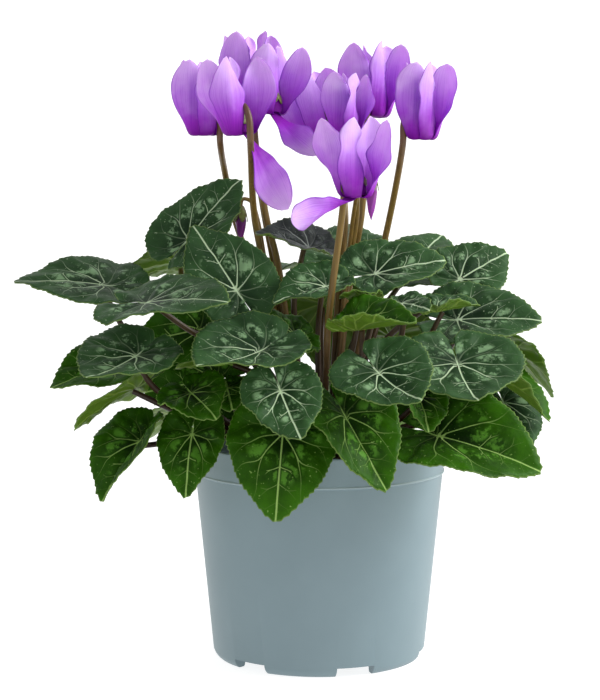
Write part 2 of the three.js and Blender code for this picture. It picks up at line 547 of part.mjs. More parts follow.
function leafStalkCurve(leaf, index) {
  const notch = bladePoint3(leaf, 0, 0, -bladeThickness / 2);
  const rib = bladePoint3(leaf, 0.5, 0, -bladeThickness / 2).sub(notch).normalize();
  const seat = rib.clone().cross(leaf.left);
  const end = notch.addScaledVector(rib, 2.2).addScaledVector(seat, -seatGap);
  const outward = new THREE.Vector3(end.x, end.y, 0);
  const reach = outward.length();
  outward.normalize();
  const start = outward.clone().multiplyScalar(crownRadius * mix(1, 0.35, smooth(110, 200, end.z)));
  start.z = cormTop(start.length()) - 3;
  const span = end.distanceTo(start);
  const sideways = new THREE.Vector3(-outward.y, outward.x, 0);
  let best = null;
  for (const square of [0.28, 0.12]) {
    for (const swing of [0, 0.08, -0.08, 0.16, -0.16, 0.25, -0.25, 0.36, -0.36]) {
      for (const [lift, raise] of liftsAndRaises) {
        const curve = new THREE.CubicBezierCurve3(
          start,
          start.clone().addScaledVector(outward, reach * 0.25).addScaledVector(sideways, span * swing)
            .add(new THREE.Vector3(0, 0, span * lift)),
          end.clone().addScaledVector(seat, -span * square).addScaledVector(sideways, span * swing * 0.6)
            .add(new THREE.Vector3(0, 0, span * raise)),
          end);
        const clear = clearance(curve, index);
        if (!best || clear > best.clear + 0.05) best = { curve, clear, seat };
        if (best.clear > 4.2) return best;
      }
    }
  }
  return best;
}

// The least distance from a stalk's line to the blades, and to the pot's rim.
function clearance(curve, index) {
  let least = 99;
  const corners = curve.getSpacedPoints(leafStalkSteps);
  for (let i = 2; i <= 24; i += 1) {
    const place = (i / 24) * leafStalkSteps;
    const k = Math.min(leafStalkSteps - 1, Math.floor(place));
    const p = corners[k].clone().lerp(corners[k + 1], place - k);
    if (Math.hypot(p.x, p.y) > rimRadius - 6 && p.z < potHeight + 6) least = Math.min(least, p.z - potHeight - 2.5);
    bladePoints.forEach((points, j) => {
      const own = j === index;
      if (placedLeaves[j].at.distanceTo(p) > 70) return;
      for (const q of points) {
        const near = Math.abs(q.x - p.x) < least && Math.abs(q.y - p.y) < least && Math.abs(q.z - p.z) < least;
        if (near && !(own && q.distanceTo(placedLeaves[j].at) < 10)) least = Math.min(least, p.distanceTo(q));
      }
    });
  }
  return least;
}

// The corm with everything that grows from its crown: leaf stalks, flower stalks, calyxes and bud stalks.
function makeStalks() {
  const solids = [cormSolid(0)];
  placedLeaves.forEach((leaf, index) => {
    const { curve, clear, seat } = leafStalkCurve(leaf, index);
    if (clear < 3) console.warn(leaf.name, 'stalk is within', clear.toFixed(1), 'mm of a blade');
    solids.push(solidOf(tube(curve, leafStalkSteps, 5, (t) => leafStalkRadius * mix(1.2, 0.85, t), seat)));
  });
  const thickness = (t) => mix(flowerStalkRadius, hookRadius, smooth(0.8, 0.92, t)) + 0.4 * smooth(0.3, 0, t);
  placedBlooms.forEach((bloom) => {
    const calyx = turned([[0, tubeLength + seatGap], [3.4, tubeLength + seatGap], [2, tubeLength + 3], [0, tubeLength + 3.2]], 6);
    solids.push(solidOf(tube(flowerStalkCurve(bloom), 13, 5, thickness)), solidOf(ontoBloom(calyx, bloom)));
  });
  buds.forEach((bud) => {
    const curve = new THREE.CatmullRomCurve3(bud.stalk.map(vec), false, 'centripetal');
    const calyx = turned([[0, 0], [bud.width * 0.42, 0], [bud.width * 0.3, 2.6], [0, 2.8]], 6)
      .translate(bud.top[0], bud.top[1], bud.top[2] + seatGap);
    solids.push(solidOf(tube(curve, 10, 5, (t) => mix(1.3, 0.8, t))), solidOf(calyx));
  });
  const [whole, ...rest] = wasm.Manifold.union(solids).asOriginal().simplify(0.05).decompose();
  if (rest.some((body) => body.volume() > 0)) console.warn('a stalk is loose from the corm');
  return whole;
}

const innerRadius = makePot();
makeSoil(innerRadius);
addPiece('corm_and_stalks', makeStalks(), 'stalks');
placedLeaves.forEach((leaf) => addPiece(leaf.name, bladeGeometry(leaf), 'leaf'));
placedBlooms.forEach((bloom) => addPiece(bloom.name, bloomSolid(bloom), 'petal'));
buds.forEach((bud) => addPiece(bud.name, budGeometry(bud), 'petal'));

export default cyclamen;
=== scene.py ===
"""Potted cyclamen: a grower's pot of moulded plastic, peat soil, a corm with its stalks, toothed marbled
leaves, swept-back violet blooms and two hanging buds. Metres, +Z up, the display side facing -Y. The soil,
the leaves, the stalks, the flowers and the paper are worked out in millimetres, but for their thickness."""
import math
import random

import bmesh
import bpy
import numpy as np
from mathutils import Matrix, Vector, noise


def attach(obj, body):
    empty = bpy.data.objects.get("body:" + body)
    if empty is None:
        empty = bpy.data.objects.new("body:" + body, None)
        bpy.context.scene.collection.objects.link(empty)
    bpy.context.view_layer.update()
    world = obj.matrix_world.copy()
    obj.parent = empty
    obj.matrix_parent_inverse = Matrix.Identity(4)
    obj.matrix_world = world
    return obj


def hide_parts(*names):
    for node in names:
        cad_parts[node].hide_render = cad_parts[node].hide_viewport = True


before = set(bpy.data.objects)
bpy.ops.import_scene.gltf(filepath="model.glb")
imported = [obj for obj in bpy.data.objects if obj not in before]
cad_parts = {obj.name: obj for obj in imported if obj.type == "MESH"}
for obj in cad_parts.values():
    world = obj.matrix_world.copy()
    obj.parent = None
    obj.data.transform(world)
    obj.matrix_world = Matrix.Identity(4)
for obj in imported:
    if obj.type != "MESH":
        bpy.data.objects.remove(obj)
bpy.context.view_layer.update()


# Pot: a thin grower's pot of grey-blue polypropylene, injection moulded. One ring of edges is drawn up
# from the pad under the floor, round the wall and lip and down the inside, and the foot is then notched.
def srgb(hex_colour):
    """Turns an sRGB hex colour into the linear colour that a shader holds."""
    channels = [int(hex_colour[i:i + 2], 16) / 255 for i in (1, 3, 5)]
    linear = [c / 12.92 if c <= 0.04045 else ((c + 0.055) / 1.055) ** 2.4 for c in channels]
    return (*linear, 1)


def fill_inputs(node, inputs):
    """Fills a node's inputs with values, or links them to outputs. Another node stands for the first of its
    outputs that is in use."""
    for key, value in inputs.items():
        if isinstance(value, bpy.types.Node):
            value = next(output for output in value.outputs if output.enabled)
        if isinstance(value, bpy.types.NodeSocket):
            node.id_data.links.new(value, node.inputs[key])
        else:
            node.inputs[key].default_value = value


def add_node(tree, kind, inputs=None, **settings):
    """Adds a shader node with its settings, and fills its inputs. A Mix node's colours are inputs 6 and 7,
    and a Map Range node's inputs 1 to 4 are the range that it reads and the range that it gives."""
    node = tree.nodes.new("ShaderNode" + kind)
    for name, value in settings.items():
        setattr(node, name, value)
    fill_inputs(node, inputs or {})
    return node


def new_skin(name, roughness, ior=1.45):
    """Starts a material, and returns it with its node tree and its surface shader."""
    skin = bpy.data.materials.new(name)
    skin.use_nodes = True
    surface = skin.node_tree.nodes["Principled BSDF"]
    fill_inputs(surface, {"Roughness": roughness, "IOR": ior})
    return skin, skin.node_tree, surface


def select_only(*pieces):
    """Selects these pieces alone, with the first of them active."""
    bpy.ops.object.select_all(action="DESELECT")
    for piece in pieces:
        piece.select_set(True)
    bpy.context.view_layer.objects.active = pieces[0]


def finish_piece(piece, node):
    """Makes a piece ride on the plant in place of its solid."""
    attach(piece, "root")
    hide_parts(node)


POT_SIDES = 144
PAD_RADIUS = 0.0130
BEAD_HEIGHT = 0.0909
BEAD_HALF_HEIGHT = 0.0005
NOTCH_COUNT = 6
FIRST_NOTCH_DEGREES = -70.6
NOTCH_REACH = 0.051
NOTCH_SIZE = (0.016, 0.0185, 0.0092)
HOLE_REACH = 0.039
HOLE_RADIUS = 0.0035
HOLE_DEPTH = 0.008
POT_PROFILE = [
    (0.0138, 0.0003), (0.0155, 0.0040), (0.0440, 0.0040), (0.0446, 0.0008), (0.0452, 0), (0.0482, 0),
    (0.0491, 0.0003), (0.0499, 0.0010), (0.0508, 0.0022), (0.0514, 0.0036), (0.0557, 0.0470),
    (0.05993, 0.0899), (0.06035, 0.0902), (0.0607, 0.0905), (0.0607, 0.0910), (0.06035, 0.0914),
    (0.06045, 0.0970), (0.0607, 0.1030), (0.0609, 0.1036), (0.0609, 0.1041), (0.0606, 0.1045),
    (0.0599, 0.1045), (0.0594, 0.1041), (0.0590, 0.0915), (0.0586, 0.0895), (0.0500, 0.0080),
    (0.0470, 0.0056), (0.0170, 0.0054), (0.0145, 0.0014),
]

bpy.ops.object.select_all(action="DESELECT")
bpy.ops.mesh.primitive_circle_add(vertices=POT_SIDES, radius=PAD_RADIUS, fill_type="NGON")
pot = bpy.context.object
pot.name = "grower_pot"
bpy.ops.object.mode_set(mode="EDIT")
bpy.ops.mesh.select_mode(type="EDGE")
bpy.ops.mesh.select_all(action="SELECT")
bpy.ops.mesh.flip_normals()
radius, height = PAD_RADIUS, 0
for next_radius, next_height in POT_PROFILE:
    bpy.ops.mesh.extrude_edges_move(TRANSFORM_OT_translate={"value": (0, 0, next_height - height)})
    widening = next_radius / radius
    bpy.ops.transform.resize(value=(widening, widening, 1), center_override=(0, 0, next_height))
    radius, height = next_radius, next_height
bpy.ops.mesh.edge_face_add()
bpy.ops.mesh.select_all(action="SELECT")
bpy.ops.mesh.normals_make_consistent(inside=False)
bpy.ops.object.mode_set(mode="OBJECT")

cutters = []
for index in range(NOTCH_COUNT):
    turn = math.radians(FIRST_NOTCH_DEGREES + 360 / NOTCH_COUNT * index)
    across = Vector((math.cos(turn), math.sin(turn), 0))
    bpy.ops.mesh.primitive_cube_add(size=1, location=across * NOTCH_REACH, rotation=(0, 0, turn),
                                    scale=NOTCH_SIZE)
    cutters.append(bpy.context.object)
    hole_middle = across * HOLE_REACH + Vector((0, 0, HOLE_DEPTH / 2))
    bpy.ops.mesh.primitive_cylinder_add(vertices=32, radius=HOLE_RADIUS, depth=HOLE_DEPTH,
                                        location=hole_middle)
    cutters.append(bpy.context.object)
select_only(*cutters)
bpy.ops.object.join()
notches = bpy.context.object
select_only(pot)
cut = pot.modifiers.new("notches", "BOOLEAN")
cut.operation = "DIFFERENCE"
cut.object = notches
bpy.ops.object.modifier_apply(modifier=cut.name)
bpy.data.objects.remove(notches)
bpy.ops.object.shade_smooth_by_angle(angle=math.radians(32))

# Polypropylene, injection moulded: a satin grey-blue skin with faint flow mottling, and a painted highlight
# along the bead, where its small step catches the light. Its grain is drawn coarser than the mould's, which
# is too fine to show.
MOTTLE_MM = 26.3
GRAIN_MM = 0.625
plastic, tree, surface = new_skin("moulded_polypropylene", 0.46, 1.49)
place = add_node(tree, "TexCoord").outputs["Object"]
level = add_node(tree, "SeparateXYZ", {0: place}).outputs["Z"]
mottle = add_node(tree, "TexNoise",
                  {"Vector": place, "Scale": 1000 / MOTTLE_MM, "Detail": 4, "Roughness": 0.55})
body = add_node(tree, "Mix", {0: mottle, 6: srgb("#70848b"), 7: srgb("#7a8e95")}, data_type="RGBA")
# Painted highlight: a paler band along the bead, where its small step catches the light.
bead_highlight_band = add_node(tree, "Math", {0: level, 1: BEAD_HEIGHT, 2: BEAD_HALF_HEIGHT}, operation="COMPARE")
bead_highlight = add_node(tree, "Math", {0: bead_highlight_band, 1: 0.55}, operation="MULTIPLY")
colour = add_node(tree, "Mix", {0: bead_highlight, 6: body, 7: srgb("#a7b7bc")}, data_type="RGBA")
grain = add_node(tree, "TexNoise", {"Vector": place, "Scale": 1000 / GRAIN_MM, "Detail": 2})
relief = add_node(tree, "Bump", {"Height": grain, "Strength": 0.12, "Distance": 0.0002})
fill_inputs(surface, {"Base Color": colour, "Normal": relief})
pot.data.materials.append(plastic)
finish_piece(pot, "pot")


# Soil: dark peat mix, pressed in by hand to a finger's breadth below the rim. A disc of rings is raised
# in lumps, closed round the sides and below, and strewn with crumbs of peat and bark.
def shaped_grid(name, columns, rows, place_points):
    """Adds a grid and moves its points to where place_points puts them, in millimetres, from their shares
    across and along the grid. Points that fall together are merged."""
    bpy.ops.object.select_all(action="DESELECT")
    bpy.ops.mesh.primitive_grid_add(x_subdivisions=columns, y_subdivisions=rows, size=2)
    piece = bpy.context.object
    piece.name = name
    flat = np.empty(len(piece.data.vertices) * 3)
    piece.data.vertices.foreach_get("co", flat)
    flat = flat.reshape(-1, 3)
    points = place_points(piece.data, (flat[:, 0] + 1) / 2, (flat[:, 1] + 1) / 2)
    piece.data.vertices.foreach_set("co", (points / 1000).ravel())
    bpy.ops.object.mode_set(mode="EDIT")
    bpy.ops.mesh.select_all(action="SELECT")
    bpy.ops.mesh.remove_doubles(threshold=1e-6)
    bpy.ops.object.mode_set(mode="OBJECT")
    bpy.ops.object.shade_smooth()
    return piece


def smooth(low, high, x):
    """Rises smoothly from 0 at low to 1 at high."""
    t = np.clip((x - low) / (high - low), 0, 1)
    return t * t * (3 - 2 * t)


SOIL_TOP = 92
SOIL_BASE = 6.3
SOIL_RADIUS = 56.7
SOIL_GRID = (160, 60)
TOP_SHARE = 0.8
LUMP_HEIGHT = 1.6
ROUGHNESS_HEIGHT = 1.1
CRUMB_COUNT = 420


def soil_points(mesh, across, along):
    """The top in rings out to the pot's wall, then the side and the base."""
    turn = across * 2 * math.pi
    stations = [0, TOP_SHARE, 0.84, 0.97, 1]
    radius = np.interp(along, stations, [0, SOIL_RADIUS, SOIL_RADIUS - 0.1, 48.6, 0])
    height = np.interp(along, stations, [SOIL_TOP, SOIL_TOP, SOIL_TOP - 3, SOIL_BASE, SOIL_BASE])
    x = radius * np.cos(turn)
    y = radius * np.sin(turn)
    waves = np.sin(turn * 3 + radius * 0.4) * np.cos(turn * 5 - radius * 0.3)
    lumps = LUMP_HEIGHT * waves * smooth(58, 44, radius)
    rough = np.array([noise.fractal(Vector((a, b, 0)) * 0.16, 0.8, 2.2, 4) for a, b in zip(x, y)])
    lifted = (lumps + ROUGHNESS_HEIGHT * rough) * (along < TOP_SHARE)
    return np.stack([x, y, height + lifted], axis=1)


soil = shaped_grid("peat_soil", *SOIL_GRID, soil_points)
rng = random.Random(41)
crumbs = []
for index in range(CRUMB_COUNT):
    reach = (SOIL_RADIUS - 1.7) * math.sqrt(rng.uniform(0.16, 1))
    turn = rng.uniform(0, 2 * math.pi)
    size = rng.uniform(0.5, 1.7) / 1000
    spot = Vector((reach * math.cos(turn), reach * math.sin(turn), SOIL_TOP + 0.3)) / 1000
    bpy.ops.mesh.primitive_ico_sphere_add(subdivisions=1, radius=size, location=spot,
                                          rotation=[rng.uniform(0, 6) for k in range(3)],
                                          scale=(1, rng.uniform(0.5, 1), rng.uniform(0.4, 0.9)))
    crumbs.append(bpy.context.object)
select_only(soil, *crumbs)
bpy.ops.object.join()
bpy.ops.object.transform_apply()


def crumbly_skin(name, roughness, clod_mm, dark, light, strength, depth):
    """Makes a rough skin of clods or cracks of a size, dark where they are low."""
    skin, tree, surface = new_skin(name, roughness)
    place = add_node(tree, "TexCoord").outputs["Object"]
    clods = add_node(tree, "TexNoise",
                     {"Vector": place, "Scale": 1000 / clod_mm, "Detail": 6, "Roughness": 0.7})
    colour = add_node(tree, "Mix", {0: clods, 6: srgb(dark), 7: srgb(light)}, data_type="RGBA")
    relief = add_node(tree, "Bump", {"Height": clods, "Strength": strength, "Distance": depth})
    fill_inputs(surface, {"Base Color": colour, "Normal": relief})
    return skin


# Peat and fine bark, damp: nearly black brown with rusty fibres, rough and without gloss.
CLOD_MM = 3.33
soil.data.materials.append(crumbly_skin("damp_peat", 0.85, CLOD_MM, "#150d08", "#5a412b", 0.9, 0.0012))
finish_piece(soil, "soil")


# Leaves: each blade is one thin, fleshy, toothed heart on its own stalk. A grid is fanned round the top of
# the stalk, cut to the leaf's outline, folded, bent and puckered between its veins, and made a thin solid.
BLADE_ROUND = 0.63
BLADE_POINT = 0.37
POINT_SPREAD = 31
LOBE_SHRINK = 0.12
LOBE_RISE = math.radians(50)
SINUS = 177
USUAL_DROOP = 20
USUAL_FOLD = (5, 5)
NEARLY_FLAT = 1e-4
VEIN_DEGREES = 40
EDGE_SHARE = 1.95
TOOTH_PITCH = 2.5
TOOTH_FORM = [0, 1, 0.4]
TOOTH_DEPTH = 0.95
BLADE_ROWS = 13
BLADE_THICKNESS = 0.0005
# Each row: the leaf's name, the kind of its skin, the places of its stalk and its tip, the way that it
# faces, and its bends in degrees, how far it droops, curls and folds to the left and right, and its width.
LEAVES = [
    ("front_low", "fresh", (-17, -68, 117), (-20, -86, 81), (0, -1, 0.5),
     {"droop": 30, "curl": -15, "wide": 0.96}),
    ("front_low_right", "fresh", (11, -64, 125), (29, -82, 94), (-0.1, -1, 0.4),
     {"droop": 30, "fold": (0, 50), "wide": 0.9}),
    ("right_low", "fresh", (55, -46, 113), (100, -60, 99), (0, -1, 0.7), {"droop": 25, "fold": (0, 35)}),
    ("left_low", "fresh", (-59, -48, 114), (-61, -64, 88), (-0.2, -1, 0.6), {"droop": 30, "wide": 0.8}),
    ("far_left_low", "fresh", (-84, -36, 109), (-100, -52, 84), (-0.4, -1, 0.3), {"fold": (55, 0)}),
    ("front_middle", "slate", (-18, -78, 138), (-9, -100, 120), (0, -1, 1), {"droop": -15, "wide": 0.95}),
    ("front_right_middle", "slate", (26, -67, 145), (44, -94, 136), (-0.1, -0.6, 1),
     {"droop": -30, "fold": (10, 10), "wide": 1.1}),
    ("right_middle", "slate", (64, -38, 146), (71, -70, 133), (0.1, -0.6, 1),
     {"droop": -35, "fold": (8, 8), "wide": 1.35}),
    ("left_middle", "slate", (-84, -52, 151), (-104, -78, 144), (0.1, -0.5, 1),
     {"droop": -20, "fold": (20, 0), "wide": 1.2}),
    ("front_left_middle", "slate", (-27, -60, 154), (-54, -92, 151), (0.2, -0.5, 0.8),
     {"droop": -25, "fold": (30, 0)}),
    ("left_small", "fresh", (-59, -54, 134), (-47, -74, 125), (0.1, -1, 0.7), {"fold": (10, 10)}),
    ("front_small", "fresh", (45, -50, 132), (49, -66, 118), (0.6, -1, 0.4), {"fold": (20, 20)}),
    ("left_folded", "fresh", (-86, -32, 134), (-113, -46, 117), (-0.5, 0.3, 0.8), {"wide": 0.75}),
    ("far_left_middle", "fresh", (-101, 8, 139), (-128, -6, 131), (0, -0.7, 0.8), {"fold": (25, 0)}),
    ("left_dark", "fresh", (-50, 2, 134), (-84, 0, 128), (0, -1, 0.4), {}),
    ("right_folded", "fresh", (86, 2, 134), (110, -6, 115), (0.5, -0.6, 0.6), {"fold": (0, 60)}),
    ("far_right", "slate", (91, 28, 148), (116, 28, 123), (0.6, 0.4, 1), {}),
    ("right_inner", "slate", (90, 8, 122), (98, -12, 101), (0.5, -1, 0.3), {}),
    ("left_inner", "fresh", (-38, -38, 146), (-66, -44, 145), (0, 0.2, 1), {"droop": 15, "wide": 0.8}),
    ("left_shadow", "fresh", (-58, 6, 158), (-92, 4, 150), (0, -1, 0.45), {"droop": 15, "wide": 0.75}),
    ("cupped", "fresh", (17, -54, 163), (43, -64, 167), (0, -0.1, 1),
     {"droop": 5, "fold": (44, 28), "wide": 1.1}),
    ("front_upright", "slate", (-39, -24, 179), (-60, -7, 208), (0.1, -1, 0.7),
     {"droop": 12, "fold": (8, 8), "wide": 0.85}),
    ("left_flat", "slate", (-79, -47, 175), (-42, -70, 177), (0, -0.27, 1), {"droop": 16, "fold": (10, 0)}),
    ("far_left", "slate", (-104, 12, 179), (-147, 8, 181), (0, -0.27, 1), {"droop": 14, "fold": (0, 10)}),
    ("left_lime", "lime", (-67, 39, 189), (-94, 37, 184), (0, 0.6, 1), {}),
    ("right_shoulder", "slate", (27, -10, 186), (60, -4, 192), (0, -0.75, 0.7),
     {"droop": 16, "fold": (0, 25), "wide": 0.95}),
    ("right_back", "slate", (70, 28, 181), (94, 42, 193), (0.1, -1, 0.8), {"droop": 14}),
    ("right_tip", "slate", (67, 2, 163), (106, -6, 163), (0, -0.7, 0.8), {"droop": 18, "fold": (0, 20)}),
    ("top_purple", "purple", (-5, 0, 198), (-30, -6, 205), (0, -0.7, 0.7), {"droop": 8, "fold": (45, 0)}),
    ("centre", "slate", (3, -27, 181), (-21, -38, 174), (0, -0.8, 0.78), {"droop": 12, "fold": (40, 0)}),
    ("inner_right", "slate", (56, -22, 169), (75, -18, 172), (0, -0.1, 1), {"droop": 5, "fold": (30, 30)}),
    ("inner_small", "slate", (38, -38, 174), (50, -50, 172), (0.2, -0.6, 0.8), {"droop": 15}),
    ("inner_lime", "fresh", (21, -32, 175), (10, -45, 178), (-0.3, -0.4, 1),
     {"droop": 10, "fold": (30, 0), "wide": 0.8}),
    ("inner_dark", "fresh", (-43, -42, 135), (-40, -60, 127), (0, -0.5, 1), {}),
    ("centre_dark", "fresh", (-12, -30, 159), (-31, -42, 161), (0, -0.6, 0.8), {"droop": 10, "wide": 1.1}),
    ("top_left", "slate", (-63, 9, 202), (-39, 21, 230), (-0.3, -1, 0.8),
     {"droop": 12, "fold": (0, 15), "wide": 0.9}),
    ("top_back", "slate", (14, 36, 190), (18, 68, 206), (0, -0.3, 1), {"droop": 16}),
    ("top_back_right", "slate", (46, 50, 184), (64, 80, 200), (0, -0.3, 1), {"droop": 16}),
    ("back_low_1", "fresh", (65, 33, 114), (96, 46, 86), (1, 0.5, 0.8), {"droop": 30}),
    ("back_low_2", "fresh", (24, 68, 116), (42, 98, 88), (0.4, 1, 0.8), {"droop": 30}),
    ("back_low_3", "fresh", (-30, 66, 114), (-42, 98, 82), (-0.3, 1, 0.8), {"droop": 30}),
    ("back_low_4", "fresh", (-66, 28, 114), (-102, 38, 90), (-1, 0.5, 0.8), {"droop": 30}),
    ("back_middle_1", "slate", (38, 52, 150), (66, 78, 112), (0.6, 1, 0.7), {"droop": 25, "wide": 0.85}),
    ("back_middle_2", "slate", (2, 38, 168), (4, 56, 132), (0, 1, 0.7), {"droop": 25, "wide": 0.8}),
    ("back_middle_3", "slate", (-50, 36, 152), (-84, 58, 116), (-0.7, 1, 0.7), {"droop": 25, "wide": 0.85}),
    ("back_shoulder", "slate", (-32, 58, 182), (-56, 90, 176), (-0.3, 0.3, 1), {}),
]


def blade_reach(degrees):
    """The blade's reach from its stalk at an angle from the midrib, in shares of its length."""
    a = np.abs(degrees)
    point = BLADE_POINT * np.exp(-((a / POINT_SPREAD) ** 1.3))
    heart = BLADE_ROUND + point - LOBE_SHRINK * smooth(100, 175, a)
    corner = 1 - 0.2 * smooth(SINUS - 12, SINUS, a) ** 2
    return heart * corner * (1 + 0.014 * np.cos(np.radians(a) * 9))


def unit(vector):
    """The vector's way, one long."""
    return vector / np.linalg.norm(vector)


def blade_frame(at, tip, face, bends):
    """A leaf's axes at its stalk, its length along the bent midrib, and its bends in radians."""
    at, along, up = np.array(at, float), np.array(tip, float) - at, np.array(face, float)
    chord = np.linalg.norm(along)
    along = along / chord
    up = unit(up - along * (up @ along))
    droop = math.radians(bends.get("droop", USUAL_DROOP))
    return {
        "at": at, "along": along, "up": up, "left": np.cross(up, along), "droop": droop,
        "length": chord / (math.sin(droop / 2) / (droop / 2)), "wide": bends.get("wide", 1),
        "fold": np.radians(bends.get("fold", USUAL_FOLD)),
        "curl": math.radians(bends.get("curl", 0)) + NEARLY_FLAT,
    }


def blade_points(leaf, reach, share, degrees, lift):
    """Points of a bent blade, lifted off its middle surface, in millimetres. A point is given by its reach
    in shares of the blade's length, its share of the way to the edge, and its angle from the midrib."""
    s = reach * np.cos(np.radians(degrees))
    q = np.abs(reach * np.sin(np.radians(degrees))) * leaf["wide"]
    side = np.where(degrees < 0, -1, 1)
    fold = np.where(side > 0, leaf["fold"][0], leaf["fold"][1])
    start, length, curl = leaf["droop"] / 2, leaf["length"], leaf["curl"]
    rate = np.where(s < 0, -LOBE_RISE, leaf["droop"])
    bend = start - rate * s
    forward = length * (math.sin(start) - np.sin(bend)) / rate
    rise = length * (np.cos(bend) - math.cos(start)) / rate
    turn = fold + curl * q
    across = length * (np.sin(turn) - np.sin(fold)) / curl
    lifted = length * (np.cos(fold) - np.cos(turn)) / curl
    raised = 1.2 * share ** 2 * np.sin(np.radians(degrees) * 4.5) + lift
    normal = np.outer(-np.sin(bend), leaf["along"]) + np.outer(np.cos(bend), leaf["up"])
    sideways = side * (across - raised * np.sin(turn))
    return (leaf["at"] + np.outer(forward, leaf["along"]) + np.outer(rise, leaf["up"])
            + np.outer(sideways, leaf["left"]) + normal * (lifted + raised * np.cos(turn))[:, None])


def keep_field(mesh, name, values):
    """Keeps three values for each point of a mesh, for its material to read."""
    field = mesh.attributes.new(name, "FLOAT_VECTOR", "POINT")
    field.data.foreach_set("vector", np.asarray(values, np.float32).ravel())


def leaf_shape(leaf, seed, columns):
    """Returns the function that fans a grid out into this leaf, with teeth, veins and puckers."""
    def place_points(mesh, across, along):
        degrees = (1 - 2 * across) * SINUS
        share = along ** 0.9
        a = np.abs(degrees)
        column = np.rint(across * columns).astype(int)
        pitch = len(TOOTH_FORM)
        sizes = np.random.default_rng(seed).uniform(0.6, 1.25, columns // pitch + 1)[column // pitch]
        teeth = np.choose(column % pitch, TOOTH_FORM) * sizes * smooth(0.9, 1, share) * (a < SINUS - 6)
        length = leaf["length"]
        reach = blade_reach(degrees) * share
        q = reach * np.sin(np.radians(a)) * leaf["wide"]
        s = reach * np.cos(np.radians(a))
        spot = [Vector((x * np.sign(d), y, 0)) * 3 + Vector((seed * 7.3, seed * 3.1, 0))
                for x, y, d in zip(q, s, degrees)]
        wander = np.array([noise.noise(v) for v in spot])
        dents = np.array([noise.fractal(v * 1.6, 0.9, 2, 3) for v in spot])
        cells = a / VEIN_DEGREES * (1 + 0.35 * reach)
        cells = cells + 0.16 * wander * smooth(0.2, 0.6, cells) * smooth(0.1, 0.4, share)
        forks = 0.36 * smooth(0.52, 1, share + 0.1 * np.sin(np.rint(cells) * 2.1 + seed)) * (cells > 0.5)
        cell_mm = math.radians(VEIN_DEGREES) / (1 + 0.35 * reach) * reach * length
        side_ribs = (s - 0.75 * q + 0.9 * q * q) / 0.2 + 0.12 * wander * smooth(0, 0.1, q)
        side_forks = 0.3 * smooth(0.1, 0.24, q)
        beyond = 5 * (smooth(0.55, 0.9, cells) + 1 - smooth(0.2, 0.3, s) + smooth(0.2, 0.28, q))
        keep_field(mesh, "veins", np.stack([cells, forks, cell_mm], 1))
        keep_field(mesh, "ribs", np.stack([side_ribs, side_forks, beyond], 1))
        keep_field(mesh, "blade", np.stack([share, q * length, 0 * q + 0.16 * length], 1))
        blistered = smooth(0.08, 0.45, share) * (1 - smooth(0.8, 1, share))
        pucker = 0.022 * length * np.sin(math.pi * cells) ** 2 * blistered
        frill = 0.3 * share ** 5 * np.sin(np.radians(degrees) * 17 + seed)
        lift = pucker + frill + 0.9 * dents * smooth(0.1, 0.6, share)
        reach = reach * (1 + TOOTH_DEPTH * teeth / length)
        return blade_points(leaf, reach, share, degrees, lift)
    return place_points


# Leaf skin, living: a dark green and hardly glossy, with pale sunken veins that fork and fade towards the
# edge, silvery patches and specks between them and a paler rim on the teeth. The green is painted darker
# towards the stalk, as painted shade under the leaves above. The high leaves' copy is painted cooler and
# greyer, as the sky's reflection painted over the leaf's own green. Its pebbled grain, the skin's own
# cells, is drawn about ten times as coarse so that it shows.
CLOUD_MM = 13.3
PATCH_MM = 7.7
SPECK_MM = 1.316
PEBBLE_MM = 1.111
VEIN_HALF_WIDTH = 0.26


def read_fields(tree, *names):
    """Returns the parts of the fields that a mesh keeps under these names."""
    fields = [add_node(tree, "Attribute", attribute_name=name).outputs["Vector"] for name in names]
    return [add_node(tree, "SeparateXYZ", {0: field}) for field in fields]


def vein_distance(tree, veins, cell_mm, beyond=0.0):
    """The millimetres to the nearest of some forking veins, from their numbering and its cells' width."""
    cell = add_node(tree, "Math", {0: veins.outputs["X"], 1: 0.5}, operation="PINGPONG")
    fork = add_node(tree, "Math", {0: cell, 1: veins.outputs["Y"]}, operation="SUBTRACT")
    gap = add_node(tree, "Math", {0: fork}, operation="ABSOLUTE")
    return add_node(tree, "Math", {0: gap, 1: cell_mm, 2: beyond}, operation="MULTIPLY_ADD")


